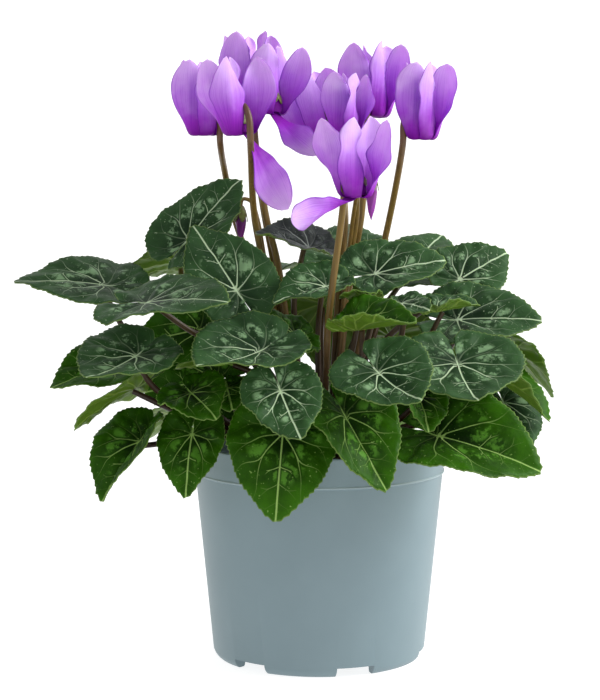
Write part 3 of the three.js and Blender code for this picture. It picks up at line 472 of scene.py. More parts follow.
def leaf_skin(name, deep, green, patch, vein, wax):
    """Makes one kind of upper leaf skin from its colours."""
    skin, tree, surface = new_skin(name, 0.52, 1.42)
    place = add_node(tree, "TexCoord").outputs["Object"]
    veins, ribs, blade = read_fields(tree, "veins", "ribs", "blade")
    share = blade.outputs["X"]
    main_mm = vein_distance(tree, veins, veins.outputs["Z"])
    rib_mm = vein_distance(tree, ribs, blade.outputs["Z"], ribs.outputs["Z"])
    thin_mm = add_node(tree, "Math", {0: rib_mm, 1: 0.1}, operation="ADD")
    nearest = add_node(tree, "Math", {0: main_mm, 1: thin_mm}, operation="MINIMUM")
    width = add_node(tree, "MapRange", {0: share, 1: 0.0, 2: 0.8, 3: VEIN_HALF_WIDTH, 4: 0.02})
    edge = add_node(tree, "Math", {0: width, 1: VEIN_HALF_WIDTH}, operation="ADD")
    line = add_node(tree, "MapRange", {0: nearest, 1: width, 2: edge, 3: 1.0, 4: 0.0},
                    interpolation_type="SMOOTHSTEP")
    ends = add_node(tree, "MapRange", {0: share, 1: 0.45, 2: 0.93, 3: 0.9, 4: 0.1})
    basal = add_node(tree, "MapRange", {0: veins.outputs["X"], 1: 1.5, 2: 3.0, 3: 1.0, 4: 0.18})
    main = add_node(tree, "Math", {0: ends, 1: basal}, operation="MULTIPLY")
    fading = add_node(tree, "Math", {0: line, 1: main}, operation="MULTIPLY")
    midrib = add_node(tree, "MapRange", {0: blade.outputs["Y"], 1: 0.2, 2: 0.62, 3: 0.95, 4: 0.0},
                      interpolation_type="SMOOTHSTEP")
    vein_mask = add_node(tree, "Math", {0: fading, 1: midrib}, operation="MAXIMUM")
    # Painted shade: the green is darker towards the stalk, where the leaves above shade the blade; the
    # clouds are the leaf's own uneven tone.
    outward = add_node(tree, "MapRange", {0: share, 1: 0.15, 2: 0.95, 3: 0.0, 4: 0.75})
    cloud = add_node(tree, "TexNoise",
                     {"Vector": place, "Scale": 1000 / CLOUD_MM, "Detail": 3, "Roughness": 0.6})
    clouded = add_node(tree, "MapRange", {0: cloud, 1: 0.35, 2: 0.65, 3: -0.2, 4: 0.3})
    green_past_painted_shade = add_node(tree, "Math", {0: outward, 1: clouded}, operation="ADD", use_clamp=True)
    base = add_node(tree, "Mix", {0: green_past_painted_shade, 6: srgb(deep), 7: srgb(green)}, data_type="RGBA")
    inner = add_node(tree, "MapRange", {0: share, 1: 0.24, 2: 0.4, 3: 0.0, 4: 1.0},
                     interpolation_type="SMOOTHSTEP")
    outer = add_node(tree, "MapRange", {0: share, 1: 0.62, 2: 0.76, 3: 1.0, 4: 0.0},
                     interpolation_type="SMOOTHSTEP")
    between = add_node(tree, "MapRange", {0: nearest, 1: 0.6, 2: 1.5, 3: 0.0, 4: 1.0})
    spots = add_node(tree, "TexNoise",
                     {"Vector": place, "Scale": 1000 / PATCH_MM, "Detail": 4, "Roughness": 0.66})
    spot_mask = add_node(tree, "MapRange", {0: spots, 1: 0.5, 2: 0.59, 3: 0.0, 4: 0.8})
    ring = add_node(tree, "Math", {0: inner, 1: outer}, operation="MULTIPLY")
    ring_between = add_node(tree, "Math", {0: ring, 1: between}, operation="MULTIPLY")
    patches = add_node(tree, "Math", {0: ring_between, 1: spot_mask}, operation="MULTIPLY")
    patched = add_node(tree, "Mix", {0: patches, 6: base, 7: srgb(patch)}, data_type="RGBA")
    specks = add_node(tree, "TexNoise", {"Vector": place, "Scale": 1000 / SPECK_MM, "Detail": 1})
    speck_mask = add_node(tree, "MapRange", {0: specks, 1: 0.71, 2: 0.77, 3: 0.0, 4: 0.5})
    specked = add_node(tree, "Mix", {0: speck_mask, 6: patched, 7: srgb(vein)}, data_type="RGBA")
    veined = add_node(tree, "Mix", {0: vein_mask, 6: specked, 7: srgb(vein)}, data_type="RGBA")
    rim = add_node(tree, "MapRange", {0: share, 1: 0.982, 2: 0.995, 3: 0.0, 4: 0.5})
    rimmed = add_node(tree, "Mix", {0: rim, 6: veined, 7: srgb("#7d9450")}, data_type="RGBA")
    pebbles = add_node(tree, "TexVoronoi", {"Vector": place, "Scale": 1000 / PEBBLE_MM})
    pebble_height = add_node(tree, "Math", {0: pebbles, 1: 0.35}, operation="MULTIPLY")
    heights = add_node(tree, "Math", {0: pebble_height, 1: vein_mask}, operation="SUBTRACT")
    relief = add_node(tree, "Bump", {"Height": heights, "Strength": 0.5, "Distance": 0.0004})
    fill_inputs(surface, {"Base Color": rimmed, "Normal": relief, "Specular IOR Level": 0.14,
                          "Sheen Weight": wax, "Sheen Roughness": 0.45, "Subsurface Weight": 0.08,
                          "Subsurface Radius": (0.6, 1, 0.25), "Subsurface Scale": 0.0012})
    return skin


# Painted reflection: the high leaves' skin is the leaf's own green made cooler and greyer for the sky that
# they reflect. The low leaves' skin is the plainer, more saturated green; the lime and the grey skins are
# given by their colours alone.
leaf_skins = {
    "slate": leaf_skin("leaf_skin_high_leaves_with_painted_sky_sheen", "#182f18", "#34552e", "#86a87c", "#bcd2ab", 0.0),
    "fresh": leaf_skin("leaf_skin_low_leaves", "#0e2702", "#2f5e02", "#568c2c", "#98ba66", 0.0),
    "lime": leaf_skin("leaf_skin_lime_leaf", "#24440c", "#44701a", "#7f9f4e", "#a9c474", 0.01),
    "purple": leaf_skin("leaf_skin_grey_leaf", "#232826", "#3a403d", "#5d6460", "#939b93", 0.1),
}

# Leaf underside, living: lime to olive green and dull, its veins standing out paler.
UNDERSIDE_CLOUD_MM = 16.7
underside, tree, surface = new_skin("leaf_underside", 0.5, 1.42)
place = add_node(tree, "TexCoord").outputs["Object"]
veins = read_fields(tree, "veins")[0]
vein_mm = vein_distance(tree, veins, veins.outputs["Z"])
vein_line = add_node(tree, "MapRange", {0: vein_mm, 1: 0.1, 2: 0.6, 3: 0.7, 4: 0.0},
                     interpolation_type="SMOOTHSTEP")
cloud = add_node(tree, "TexNoise", {"Vector": place, "Scale": 1000 / UNDERSIDE_CLOUD_MM, "Detail": 3})
base = add_node(tree, "Mix", {0: cloud, 6: srgb("#466616"), 7: srgb("#6b8c28")}, data_type="RGBA")
veined = add_node(tree, "Mix", {0: vein_line, 6: base, 7: srgb("#8fa84a")}, data_type="RGBA")
relief = add_node(tree, "Bump", {"Height": vein_line, "Strength": 0.5, "Distance": 0.0005})
fill_inputs(surface, {"Base Color": veined, "Normal": relief, "Subsurface Weight": 0.2,
                      "Subsurface Radius": (0.6, 1, 0.25), "Subsurface Scale": 0.0012})


def thicken(piece, thickness, back=0):
    """Gives a sheet its thickness, half to each side, and its back a later material of its list."""
    select_only(piece)
    walls = piece.modifiers.new("thickness", "SOLIDIFY")
    walls.thickness = thickness
    walls.offset = 0
    walls.material_offset = back
    bpy.ops.object.modifier_apply(modifier=walls.name)


placed_leaves = []
for seed, (name, kind, at, tip, face, bends) in enumerate(LEAVES):
    leaf = blade_frame(at, tip, face, bends)
    placed_leaves.append(leaf)
    columns = 2 * len(TOOTH_FORM) * round(EDGE_SHARE * leaf["length"] / TOOTH_PITCH)
    blade = shaped_grid("blade_" + name, columns, BLADE_ROWS, leaf_shape(leaf, seed, columns))
    blade.data.materials.append(leaf_skins[kind])
    blade.data.materials.append(underside)
    thicken(blade, BLADE_THICKNESS, back=1)
    finish_piece(blade, "leaf_" + name)


# Corm and stalks: a corky round corm, half buried, with every stalk grown from its crown as one body. The
# leaf stalks follow the solid's own rings from the blade down, and the flower stalks their own curves.
def tube_along(name, points, radii, sides):
    """Lofts a round stalk along a smooth line through the points, in millimetres, with closed ends."""
    line = bpy.data.curves.new(name, "CURVE")
    line.dimensions = "3D"
    line.bevel_depth = 0.001
    line.bevel_resolution = sides // 4 - 1
    line.use_fill_caps = True
    line.resolution_u = 8
    spline = line.splines.new("BEZIER")
    spline.bezier_points.add(len(points) - 1)
    for index, knot in enumerate(spline.bezier_points):
        before = Vector(points[max(0, index - 1)]) / 1000
        here = Vector(points[index]) / 1000
        after = Vector(points[min(len(points) - 1, index + 1)]) / 1000
        way = (after - before).normalized()
        knot.co = here
        knot.handle_left = here - way * (here - before).length / 3
        knot.handle_right = here + way * (after - here).length / 3
        knot.radius = radii[index]
    stalk = bpy.data.objects.new(name, line)
    bpy.context.collection.objects.link(stalk)
    select_only(stalk)
    bpy.ops.object.convert(target="MESH")
    return bpy.context.object


def catmull_rom(points, steps):
    """Centripetal curve through the points, as the solids' flower stalks have."""
    knots = [np.array(p, float) for p in points]
    knots = [2 * knots[0] - knots[1]] + knots + [2 * knots[-1] - knots[-2]]
    found = []
    for a, b, c, d in zip(knots, knots[1:], knots[2:], knots[3:]):
        times = [0]
        for p, q in ((a, b), (b, c), (c, d)):
            times.append(times[-1] + max(1e-4, np.linalg.norm(q - p) ** 0.5))
        for step in range(steps):
            t = times[1] + (times[2] - times[1]) * step / steps
            first = [a + (b - a) * (t - times[0]) / (times[1] - times[0]),
                     b + (c - b) * (t - times[1]) / (times[2] - times[1]),
                     c + (d - c) * (t - times[2]) / (times[3] - times[2])]
            second = [first[0] + (first[1] - first[0]) * (t - times[0]) / (times[2] - times[0]),
                      first[1] + (first[2] - first[1]) * (t - times[1]) / (times[3] - times[1])]
            found.append(second[0] + (second[1] - second[0]) * (t - times[1]) / (times[2] - times[1]))
    return found + [knots[-2]]


# Each row: the bloom's name, the middle of its mouth, how far it leans, the side that its stalk comes up
# on, the places that the stalk passes, its petals' turns, stands and twists, and its size.
BLOOMS = [
    ("left", (-56, 12, 253), (0, 0), 342, [(-30, 18, 180), (-42, 33, 212), (-46, 32, 232)],
     [(28, 86), (96, 86), (162, 90, 65), (228, 90, 55), (290, 86, 50)], 1),
    ("left_front", (-37, -30, 253), (-0.04, -0.05), 304, [(-27, 8, 190), (-31, 3, 212)],
     [(248, 90, 60), (350, -62, 76), (32, 84), (110, 86), (192, 82, 62)], 1),
    ("left_top", (-35, 46, 268), (0.02, 0.1), 275, [(-22, 12, 190), (-27, 22, 215)],
     [(222, 88, 40), (318, 88), (22, 86), (92, 88), (158, 84)], 1),
    ("left_back", (-23, 5, 263), (0.06, 0), 202, [(-20, 8, 190), (-26, 8, 215)],
     [(248, 90, 50), (312, -28, 40), (12, 84, 70), (84, 88), (140, 91)], 0.92),
    ("front", (16, -56, 225), (0.02, -0.05), 128, [(3, -30, 140), (4, -46, 168)],
     [(172, 80, 65), (258, 90, 70), (338, 80, 65), (62, 88), (226, -8, 75)], 1),
    ("centre_left", (1, 42, 250), (-0.18, 0.05), 325, [(10, 14, 180), (13, 20, 212)],
     [(12, 88), (80, 86), (146, 86, 65), (200, 80, 62), (268, 88, 50)], 1),
    ("centre", (12, -22, 252), (0.06, 0), 60, [(14, 12, 185), (18, 4, 215)],
     [(110, 90), (168, 90), (228, 90, 40), (292, 90, 55), (4, 88, 45)], 0.82),
    ("centre_back", (27, 26, 262), (0.03, 0.05), 244, [(16, 20, 185), (21, 16, 215)],
     [(290, 90, 50), (350, 84, 65), (56, 86), (120, 86), (190, 86, 65)], 1),
    ("right", (48, -10, 251), (0.03, 0), 189, [(24, 12, 170), (33, 12, 206)],
     [(234, 92, 60), (292, 90, 50), (352, 86, 62), (62, 88), (134, 88)], 1),
]
# Each row: the bud's name, the place of its calyx, its width and length, and its stalk's route.
BUDS = [
    ("bud_large", (24, -28, 231), 6, 19,
     [(4, 4, 94), (9, 8, 140), (14, 10, 192), (18, -4, 224), (21, -20, 238), (24, -28, 238),
      (24, -28, 233)]),
    ("bud_small", (-38, 12, 215), 6, 15,
     [(-5, 2, 94), (-14, 10, 140), (-26, 12, 190), (-30, 12, 212), (-33, 12, 220), (-37, 12, 221),
      (-38, 12, 217)]),
]
CORM_RADIUS = 21
CORM_HALF_HEIGHT = 12
CORM_MIDDLE = 90
CROWN_RADIUS = 17
SEAT_REACH = 2.2
SEAT_GAP = 0.3
HALF_SOLID_BLADE = 0.35
RING_SIDES = 5
RING_NEAR = 0.7
RING_FAR = 1.8
MOST_RINGS = 4
LEAF_STALK_SIDES = 12
FLOWER_STALK_SIDES = 16
LEAF_STALK_RADIUS = 1.5
FLOWER_STALK_RADIUS = 1.6
HOOK_RADIUS = 1.2
HOOK = [(8.6, -4), (8.2, 7), (4.6, 12.4), (0.8, 12), (0, 8.4)]
FLOWER_PARTS = 5
SEPAL_THICKNESS = 0.0003
CALYX_GRID = (60, 12)
CALYX_STATIONS = [0, 0.2, 0.5, 1]
BLOOM_CALYX = [(0.9, 10.4), (2.4, 9.7), (4.1, 7.6), (4.9, 4.0)]
BUD_CALYX = [(0.8, 3.0), (1.5, 2.5), (2.5, 0.3), (3.4, -5.0)]


def corm_top(distance):
    """The height of the corm's top, in millimetres."""
    return CORM_MIDDLE + CORM_HALF_HEIGHT * math.sqrt(1 - (distance / CORM_RADIUS) ** 2)


def way_out(axis, degrees):
    """The way straight out from an axis, towards a side."""
    level = np.array([math.cos(math.radians(degrees)), math.sin(math.radians(degrees)), 0])
    return unit(level - axis * (level @ axis))


def ways_round(axis, across, turns):
    """The ways straight out from an axis, at turns in radians from the way across it."""
    return np.outer(np.cos(turns), across) + np.outer(np.sin(turns), np.cross(axis, across))


def bloom_axes(lean, side):
    """A bloom's axis, and the way out from it towards its stalk."""
    axis = unit(np.array([lean[0], lean[1], 1.0]))
    return axis, way_out(axis, side)


solid = bmesh.new()
solid.from_mesh(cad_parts["corm_and_stalks"].data)
bmesh.ops.remove_doubles(solid, verts=solid.verts, dist=1e-5)
leaf_stalks = []
for leaf in placed_leaves:
    zero = np.zeros(1)
    notch = blade_points(leaf, zero, zero, zero, -HALF_SOLID_BLADE)[0]
    half = blade_reach(zero) * 0.5
    rib = unit(blade_points(leaf, half, np.full(1, 0.5), zero, -HALF_SOLID_BLADE)[0] - notch)
    end = notch + rib * SEAT_REACH - np.cross(rib, leaf["left"]) * SEAT_GAP
    passed = {v for v in solid.verts if (v.co * 1000 - Vector(end)).length < RING_FAR}
    ring = {v for v in passed if RING_NEAR < (v.co * 1000 - Vector(end)).length}
    route = [end]
    while len(ring) == RING_SIDES and len(route) <= MOST_RINGS:
        ring = {e.other_vert(v) for v in ring for e in v.link_edges} - passed
        passed |= ring
        if len(ring) == RING_SIDES:
            route.append(np.mean(sorted(tuple(v.co * 1000) for v in ring), axis=0))
    outward = np.array([end[0], end[1], 0]) / math.hypot(end[0], end[1])
    start = outward * CROWN_RADIUS * (1 - 0.65 * float(smooth(110, 200, end[2])))
    start[2] = corm_top(math.hypot(start[0], start[1])) - 3
    route = (route[:MOST_RINGS] + [start])[::-1]
    length = len(route) - 1
    radii = [LEAF_STALK_RADIUS * (1.2 - 0.35 * step / length) for step in range(length + 1)]
    leaf_stalks.append(tube_along("leaf_stalk", route, radii, LEAF_STALK_SIDES))
solid.free()


def calyx_shape(top, axis, across_axis, profile):
    """Returns the function that wraps a grid into a small cup with five pointed sepals hanging from it."""
    def place_points(mesh, across, along):
        turn = across * 2 * math.pi
        pointed = 0.3 + 0.7 * np.abs(np.cos(turn * FLOWER_PARTS / 2)) ** 0.8
        radius = np.interp(along, CALYX_STATIONS, [out for out, up in profile])
        rise = np.interp(along, CALYX_STATIONS, [up for out, up in profile])
        sepal = along > 0.5
        rise = np.where(sepal, profile[2][1] + (rise - profile[2][1]) * pointed, rise)
        radius = np.where(sepal, radius + 0.25 * (1 - pointed), radius)
        ring = ways_round(axis, across_axis, turn) * radius[:, None]
        return top + ring + np.outer(rise, axis)
    return place_points


flower_stalks = []
calyxes = []
for name, mouth, lean, side, via, petals, size in BLOOMS:
    axis, across = bloom_axes(lean, side)
    mouth = np.array(mouth, float)
    start = unit(np.array([via[0][0], via[0][1], 0.0])) * CROWN_RADIUS * 0.6
    start[2] = corm_top(CROWN_RADIUS * 0.6) - 5
    first = start + (np.array(via[0]) - start) * 0.4
    first[2] = (start[2] + via[0][2]) / 2
    hook = [mouth + across * out + axis * up for out, up in HOOK]
    points = catmull_rom([start, first, *via, *hook], 4)
    share = np.linspace(0, 1, len(points))
    neck = (FLOWER_STALK_RADIUS - HOOK_RADIUS) * smooth(0.62, 0.8, share)
    radii = FLOWER_STALK_RADIUS - neck + 0.4 * smooth(0.3, 0, share)
    flower_stalks.append(tube_along("flower_stalk", points, radii, FLOWER_STALK_SIDES))
    calyxes.append(shaped_grid("calyx", *CALYX_GRID, calyx_shape(mouth, axis, across, BLOOM_CALYX)))
for name, top, width, length, route in BUDS:
    points = catmull_rom(route, 4)
    radii = np.linspace(1.3, 0.8, len(points))
    flower_stalks.append(tube_along("bud_stalk", points, radii, LEAF_STALK_SIDES))
    axis, across = bloom_axes((0, 0), 0)
    top = np.array(top, float)
    calyxes.append(shaped_grid("calyx", *CALYX_GRID, calyx_shape(top, axis, across, BUD_CALYX)))
for calyx in calyxes:
    thicken(calyx, SEPAL_THICKNESS)

# Stalk skin, living: smooth and juicy, dark brown at the foot and olive bronze higher up, flushed duller
# where a flower stalk bends over, with darker fibres along it. The leaf stalks' browns are painted darker
# still: painted shade inside the foliage.
FIBRE_WIDTH_MM = 1.111
FIBRE_LENGTH_MM = 25


def stalk_skin(name, low, high, top):
    """Makes a stalk skin that runs from its foot's colour to that of its bent neck."""
    skin, tree, surface = new_skin(name, 0.38, 1.42)
    place = add_node(tree, "TexCoord").outputs["Object"]
    height = add_node(tree, "SeparateXYZ", {0: place}).outputs["Z"]
    rise = add_node(tree, "MapRange", {0: height, 1: 0.125, 2: 0.195, 3: 0.0, 4: 1.0})
    neck = add_node(tree, "MapRange", {0: height, 1: 0.225, 2: 0.262, 3: 0.0, 4: 1.0})
    across_fibres = 1000 / FIBRE_WIDTH_MM
    fibre_scale = (across_fibres, across_fibres, 1000 / FIBRE_LENGTH_MM)
    streak = add_node(tree, "Mapping", {"Vector": place, "Scale": fibre_scale})
    fibres = add_node(tree, "TexNoise", {"Vector": streak, "Scale": 1, "Detail": 3})
    base = add_node(tree, "Mix", {0: rise, 6: srgb(low), 7: srgb(high)}, data_type="RGBA")
    necked = add_node(tree, "Mix", {0: neck, 6: base, 7: srgb(top)}, data_type="RGBA")
    darker = add_node(tree, "MapRange", {0: fibres, 1: 0.4, 2: 0.7, 3: 0.0, 4: 0.4})
    streaked = add_node(tree, "Mix", {0: darker, 6: necked, 7: srgb(low)}, data_type="RGBA")
    relief = add_node(tree, "Bump", {"Height": fibres, "Strength": 0.2, "Distance": 0.0003})
    fill_inputs(surface, {"Base Color": streaked, "Normal": relief, "Subsurface Weight": 0.1,
                          "Subsurface Scale": 0.001})
    return skin


# Painted shade: the leaf stalks' colours are darker than their own brown and olive, for the shade inside
# the foliage.
leaf_stalk_skin_with_painted_shade = stalk_skin("leaf_stalk_skin_with_painted_shade", "#2e1a10", "#4c3c1a", "#4c3c1a")
flower_stalk_skin = stalk_skin("flower_stalk_skin", "#3e2614", "#7d652c", "#66483c")
for stalk in leaf_stalks:
    stalk.data.materials.append(leaf_stalk_skin_with_painted_shade)
for stalk in flower_stalks:
    stalk.data.materials.append(flower_stalk_skin)

# Sepal skin, living: olive green, freckled and flushed with the stalk's own bronze purple.
FRECKLE_MM = 1.43
sepal_skin, tree, surface = new_skin("sepal_skin", 0.45, 1.42)
place = add_node(tree, "TexCoord").outputs["Object"]
freckles = add_node(tree, "TexNoise",
                    {"Vector": place, "Scale": 1000 / FRECKLE_MM, "Detail": 3, "Roughness": 0.6})
blush = add_node(tree, "MapRange", {0: freckles, 1: 0.45, 2: 0.62, 3: 0.0, 4: 0.8})
colour = add_node(tree, "Mix", {0: blush, 6: srgb("#74803c"), 7: srgb("#5a3038")}, data_type="RGBA")
fill_inputs(surface, {"Base Color": colour})
for calyx in calyxes:
    calyx.data.materials.append(sepal_skin)

# The corm itself, a flattened ball, has knobs of about 4 mm where old stalks have dropped off.
KNOBS_PER_METRE = 260
KNOB_HEIGHT = 0.0007
bpy.ops.object.select_all(action="DESELECT")
bpy.ops.mesh.primitive_uv_sphere_add(segments=72, ring_count=36, radius=CORM_RADIUS / 1000,
                                     location=(0, 0, CORM_MIDDLE / 1000),
                                     scale=(1, 1, CORM_HALF_HEIGHT / CORM_RADIUS))
corm = bpy.context.object
corm.name = "corm_and_stalks_grown"
bpy.ops.object.transform_apply()
for vertex in corm.data.vertices:
    knob = noise.fractal(vertex.co * KNOBS_PER_METRE, 0.9, 2, 4)
    vertex.co += vertex.normal * KNOB_HEIGHT * (knob - 0.6)
bpy.ops.object.shade_smooth()

# Cork, grown: dull brown and rough, with fine dark cracks.
CRACK_MM = 2.38
corm.data.materials.append(crumbly_skin("corm_cork", 0.8, CRACK_MM, "#2e1d12", "#7a5a3c", 0.7, 0.0006))
select_only(corm, *leaf_stalks, *flower_stalks, *calyxes)
bpy.ops.object.join()
finish_piece(corm, "corm_and_stalks")


# Blooms: each hangs mouth down from its bent stalk, with its five thin petals swept back up and twisted
# like a shuttlecock round the short tube. Each petal is a shaped grid given the thickness of a petal.
MOUTH_RADIUS = 5
TUBE_LENGTH = 7
PETAL_LENGTH = 41
PETAL_THICKNESS = 0.0003
CLAW_WIDTH = 7
PETAL_WIDENING = 10
USUAL_TWIST = 60
PETAL_GRID = (16, 30)
TUBE_GRID = (60, 14)
LINE_STEPS = 40
TUBE_STATIONS = [0, 0.1, 0.3, 0.38, 0.46, 0.6, 1]
TUBE_RADII = [0, 3.4, 4.3, 4.9, 5.2, 4.8, 3.9]
TUBE_HEIGHTS = [6.2, 6, 1.2, -0.3, 0.1, 1.6, TUBE_LENGTH]


def petal_line(standing, share, length):
    """The petal's middle line: outwards from the mouth's rim, then swept up."""
    t = (np.arange(LINE_STEPS) + 0.5) / LINE_STEPS * share
    angle = np.radians(-50 + (standing + 42) * smooth(-0.02, 0.2, t) + 16 * t * t)
    step = length * share / LINE_STEPS
    return MOUTH_RADIUS - 2.4 + step * np.sum(np.cos(angle)), step * np.sum(np.sin(angle))


def petal_shape(mouth, axis, stance, size, seed):
    """Returns the function that bends a grid into one petal of a bloom."""
    turn, standing = stance[:2]
    twisted = stance[2] if len(stance) > 2 else USUAL_TWIST
    radial = way_out(axis, turn)
    tangent = np.cross(axis, radial)
    blunt = 1.7 + 0.9 * abs(math.sin(seed * 1.3))
    skew = math.sin(seed * 2.1)

    def place_points(mesh, across, along):
        across = across * 2 - 1
        points = np.empty((len(along), 3))
        keep_field(mesh, "petal", np.stack([along, across, 0 * along + seed], 1))
        for share in np.unique(along):
            row = along == share
            q = across[row]
            out, up = petal_line(standing, share, PETAL_LENGTH * size)
            after = petal_line(standing, min(1, share + 0.01), PETAL_LENGTH * size)
            before = petal_line(standing, max(0, share - 0.01), PETAL_LENGTH * size)
            way = math.atan2(after[1] - before[1], after[0] - before[0])
            twist = math.radians(twisted) * float(smooth(0.02, 0.75, share))
            point = max(0, share - 0.55) / 0.45
            narrowing = max(0, 1 - point ** blunt) ** 0.68
            width = size * (CLAW_WIDTH + PETAL_WIDENING * float(smooth(0.04, 0.66, share))) * narrowing
            normal = -radial * math.sin(way) + axis * math.cos(way)
            wide = tangent * math.cos(twist) + normal * math.sin(twist)
            thick = normal * math.cos(twist) - tangent * math.sin(twist)
            spread = width / 2 * q + 1.6 * skew * share ** 3
            wrap = float(smooth(0.4, 0.05, share))
            inward = out * (1 - np.cos(spread / out)) * wrap
            cup = 0.16 * width * q * q * (1 - 0.6 * wrap)
            creased = float(smooth(0.1, 0.4, share) * smooth(0.95, 0.6, share))
            crease = -0.5 * np.exp(-(q / 0.16) ** 2) * creased
            wave = 2.0 * np.abs(q) ** 3 * math.sin(share * 10 + seed) * float(smooth(0.25, 0.6, share))
            wave = wave + 0.6 * q ** 4 * math.sin(share * 24 + seed * 2) * float(smooth(0.3, 0.6, share))
            wave = wave * np.where(q > 0, 1, -0.7) + 0.5 * np.sin(q * 2.3 + seed * 1.7 + share * 4) * share
            wave = wave * min(1, 1.6 * narrowing)
            points[row] = (mouth + np.outer(out - inward, radial) + axis * up + np.outer(spread, wide)
                           + np.outer(cup + crease + wave, thick))
        return points
    return place_points


def tube_shape(mouth, axis, across_axis):
    """Returns the function that wraps a grid into the short tube, with a ring of folds at its mouth."""
    def place_points(mesh, across, along):
        turn = across * 2 * math.pi
        folds = 1 + 0.07 * np.cos(turn * FLOWER_PARTS) * (1 - along)
        radius = np.interp(along, TUBE_STATIONS, TUBE_RADII) * folds
        rise = np.interp(along, TUBE_STATIONS, TUBE_HEIGHTS)
        keep_field(mesh, "petal", np.stack([0.05 * along, 0 * along, 0 * along], 1))
        ring = ways_round(axis, across_axis, turn) * radius[:, None]
        return mouth + ring + np.outer(rise, axis)
    return place_points


# Petal tissue, living: thin, soft and matt, deep magenta at the base and pale lilac violet at the tip, with
# fine lengthwise veins, cloudy paler places, a darker hem, and light that comes through it. The base is
# painted darker than the petal's own magenta: painted shade on the downturned mouths.
PETAL_CLOUD_MM = 11.1
# Partly painted shade: the deepest stops at the base are darker than the petal's own magenta, for the
# mouths that hang away from the light.
PETAL_FLUSH_AND_BASE_SHADE = [(0, "#600a74"), (0.12, "#7c1496"), (0.26, "#982fbc"), (0.42, "#a855d3"), (0.62, "#bc85e4"),
               (0.85, "#cea9ed"), (1, "#d5b4f0")]
petal_skin, tree, surface = new_skin("petal_tissue", 0.55, 1.4)
place = add_node(tree, "TexCoord").outputs["Object"]
field = add_node(tree, "Attribute", attribute_name="petal").outputs["Vector"]
parts = add_node(tree, "SeparateXYZ", {0: field})
flush = add_node(tree, "ValToRGB", {0: parts.outputs["X"]})
stops = flush.color_ramp.elements
stops.remove(stops[1])
stops[0].color = srgb(PETAL_FLUSH_AND_BASE_SHADE[0][1])
for position, colour in PETAL_FLUSH_AND_BASE_SHADE[1:]:
    stops.new(position).color = srgb(colour)
streak = add_node(tree, "Mapping", {"Vector": field, "Scale": (1.2, 24, 3)})
veins = add_node(tree, "TexNoise", {"Vector": streak, "Scale": 1, "Detail": 3})
vein_mask = add_node(tree, "MapRange", {0: veins, 1: 0.48, 2: 0.66, 3: 0.0, 4: 0.5})
veined = add_node(tree, "Mix", {0: vein_mask, 6: flush, 7: srgb("#c79ae2")}, data_type="RGBA",
                  blend_type="MULTIPLY")
cloud = add_node(tree, "TexNoise", {"Vector": place, "Scale": 1000 / PETAL_CLOUD_MM, "Detail": 3})
paling = add_node(tree, "MapRange", {0: cloud, 1: 0.45, 2: 0.7, 3: 0.0, 4: 0.45})
upper = add_node(tree, "Math", {0: paling, 1: parts.outputs["X"]}, operation="MULTIPLY")
clouded = add_node(tree, "Mix", {0: upper, 6: veined, 7: srgb("#dcc2f4")}, data_type="RGBA")
beside = add_node(tree, "Math", {0: parts.outputs["Y"]}, operation="ABSOLUTE")
hem = add_node(tree, "MapRange", {0: beside, 1: 0.92, 2: 0.99, 3: 0.0, 4: 0.8})
edged = add_node(tree, "Mix", {0: hem, 6: clouded, 7: srgb("#b486d2")}, data_type="RGBA",
                 blend_type="MULTIPLY")
relief = add_node(tree, "Bump", {"Height": veins, "Strength": 0.25, "Distance": 0.0003})
fill_inputs(surface, {"Base Color": edged, "Normal": relief, "Specular IOR Level": 0.08,
                      "Subsurface Weight": 0.45, "Subsurface Radius": (0.9, 0.45, 1),
                      "Subsurface Scale": 0.0015})

for seed, (name, mouth, lean, side, via, petals, size) in enumerate(BLOOMS):
    axis, across = bloom_axes(lean, side)
    mouth = np.array(mouth, float)
    grown = []
    for index, stance in enumerate(petals):
        bend = petal_shape(mouth, axis, stance, size, seed * FLOWER_PARTS + index)
        petal = shaped_grid("petal", *PETAL_GRID, bend)
        thicken(petal, PETAL_THICKNESS)
        grown.append(petal)
    grown.append(shaped_grid("tube", *TUBE_GRID, tube_shape(mouth, axis, across)))
    for part in grown:
        part.data.materials.append(petal_skin)
    select_only(*grown)
    bpy.ops.object.join()
    bloom = bpy.context.object
    bloom.name = "flower_" + name
    finish_piece(bloom, "bloom_" + name)


# Buds: five petals rolled round each other in a spindle, hanging point down under a small calyx.
BUD_GRID = (60, 30)


def bud_shape(top, width, length):
    """Returns the function that wraps a grid into a spindle with five spiral overlaps."""
    def place_points(mesh, across, along):
        turn = across * 2 * math.pi
        spiral = (across * FLOWER_PARTS + along * 1.6) % 1
        radius = width * np.interp(along, [0, 0.06, 0.3, 0.75, 1], [0.3, 0.4, 0.5, 0.26, 0])
        radius = radius * (0.9 + 0.14 * spiral ** 2)
        keep_field(mesh, "petal", np.stack([0 * along + 0.02, spiral, along], 1))
        return np.stack([top[0] + radius * np.cos(turn), top[1] + radius * np.sin(turn),
                         top[2] - along * length], 1)
    return place_points


# Bud tissue, living: the petals' own deep magenta, a little glossier, paler along each overlap.
bud_skin, tree, surface = new_skin("bud_tissue", 0.4, 1.4)
parts = read_fields(tree, "petal")[0]
flush = add_node(tree, "Mix", {0: parts.outputs["Z"], 6: srgb("#641668"), 7: srgb("#9a35a4")},
                 data_type="RGBA")
overlap = add_node(tree, "MapRange", {0: parts.outputs["Y"], 1: 0.7, 2: 1.0, 3: 0.0, 4: 0.6})
edged = add_node(tree, "Mix", {0: overlap, 6: flush, 7: srgb("#a05fae")}, data_type="RGBA")
fill_inputs(surface, {"Base Color": edged, "Subsurface Weight": 0.2, "Subsurface Scale": 0.0015})
for name, top, width, length, route in BUDS:
    bud = shaped_grid("closed_" + name, *BUD_GRID, bud_shape(top, width, length))
    bud.data.materials.append(bud_skin)
    finish_piece(bud, name)


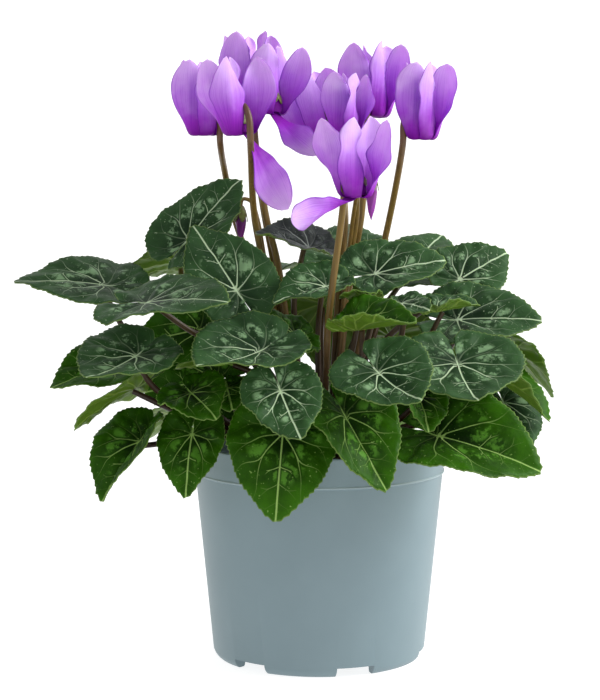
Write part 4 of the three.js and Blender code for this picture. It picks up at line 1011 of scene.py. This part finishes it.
# Stage: a seamless sweep of white paper under and behind the pot, lit from all round, with a large softbox
# high on the right and a weak fill on the left. The camera stands where the photograph was taken from.
FLOOR_FRONT = -2500
FLOOR_BACK = 1100
FLOOR_SHARE = 0.55
BEND_SHARE = 0.25
BEND_RADIUS = 600
WALL_HEIGHT = 1800
SWEEP_WIDTH = 6000
SWEEP_GRID = (8, 80)
LAMPS = [("softbox", (1.5, -0.15, 1.2), 1.0, 37), ("fill", (-1.2, -1.3, 0.8), 1.2, 2)]
LIT_MIDDLE = Vector((0, 0, 0.15))
CAMERA_PLACE = (-0.0092, -1.0, 0.247)
CAMERA_PITCH = 0.098
CAMERA_FOCAL_PIXELS = 2081
PHOTO_HEIGHT_PIXELS = 700
SENSOR_WIDTH = 36


def sweep_points(mesh, across, along):
    """A level floor that curves up into a wall behind."""
    wall_share = 1 - FLOOR_SHARE - BEND_SHARE
    bend = np.clip((along - FLOOR_SHARE) / BEND_SHARE, 0, 1) * math.pi / 2
    wall = np.clip(along - FLOOR_SHARE - BEND_SHARE, 0, 1) / wall_share * WALL_HEIGHT
    depth = np.interp(along, [0, FLOOR_SHARE], [FLOOR_FRONT, FLOOR_BACK])
    y = depth + BEND_RADIUS * np.sin(bend)
    z = BEND_RADIUS * (1 - np.cos(bend)) + wall
    return np.stack([(across - 0.5) * SWEEP_WIDTH, y, z], 1)


sweep = shaped_grid("paper_sweep", *SWEEP_GRID, sweep_points)
paper, tree, surface = new_skin("white_background_paper", 0.9)
fill_inputs(surface, {"Base Color": srgb("#a0a0a0"), "Emission Color": srgb("#ffffff"),
                      "Emission Strength": 0.84})
sweep.data.materials.append(paper)

world = bpy.data.worlds.new("studio")
bpy.context.scene.world = world
world.use_nodes = True
fill_inputs(world.node_tree.nodes["Background"], {"Color": srgb("#fbfcfb"), "Strength": 0.58})

for name, place, size, power in LAMPS:
    bpy.ops.object.light_add(type="AREA", location=place)
    lamp = bpy.context.object
    lamp.name = name
    lamp.data.size = size
    lamp.data.energy = power
    lamp.rotation_euler = (LIT_MIDDLE - Vector(place)).to_track_quat("-Z", "Y").to_euler()

bpy.ops.object.camera_add(location=CAMERA_PLACE, rotation=(math.pi / 2 - CAMERA_PITCH, 0, 0))
camera = bpy.context.object
camera.data.sensor_width = SENSOR_WIDTH
camera.data.lens = SENSOR_WIDTH * CAMERA_FOCAL_PIXELS / PHOTO_HEIGHT_PIXELS
bpy.context.scene.camera = camera
bpy.context.scene.view_settings.view_transform = "Standard"
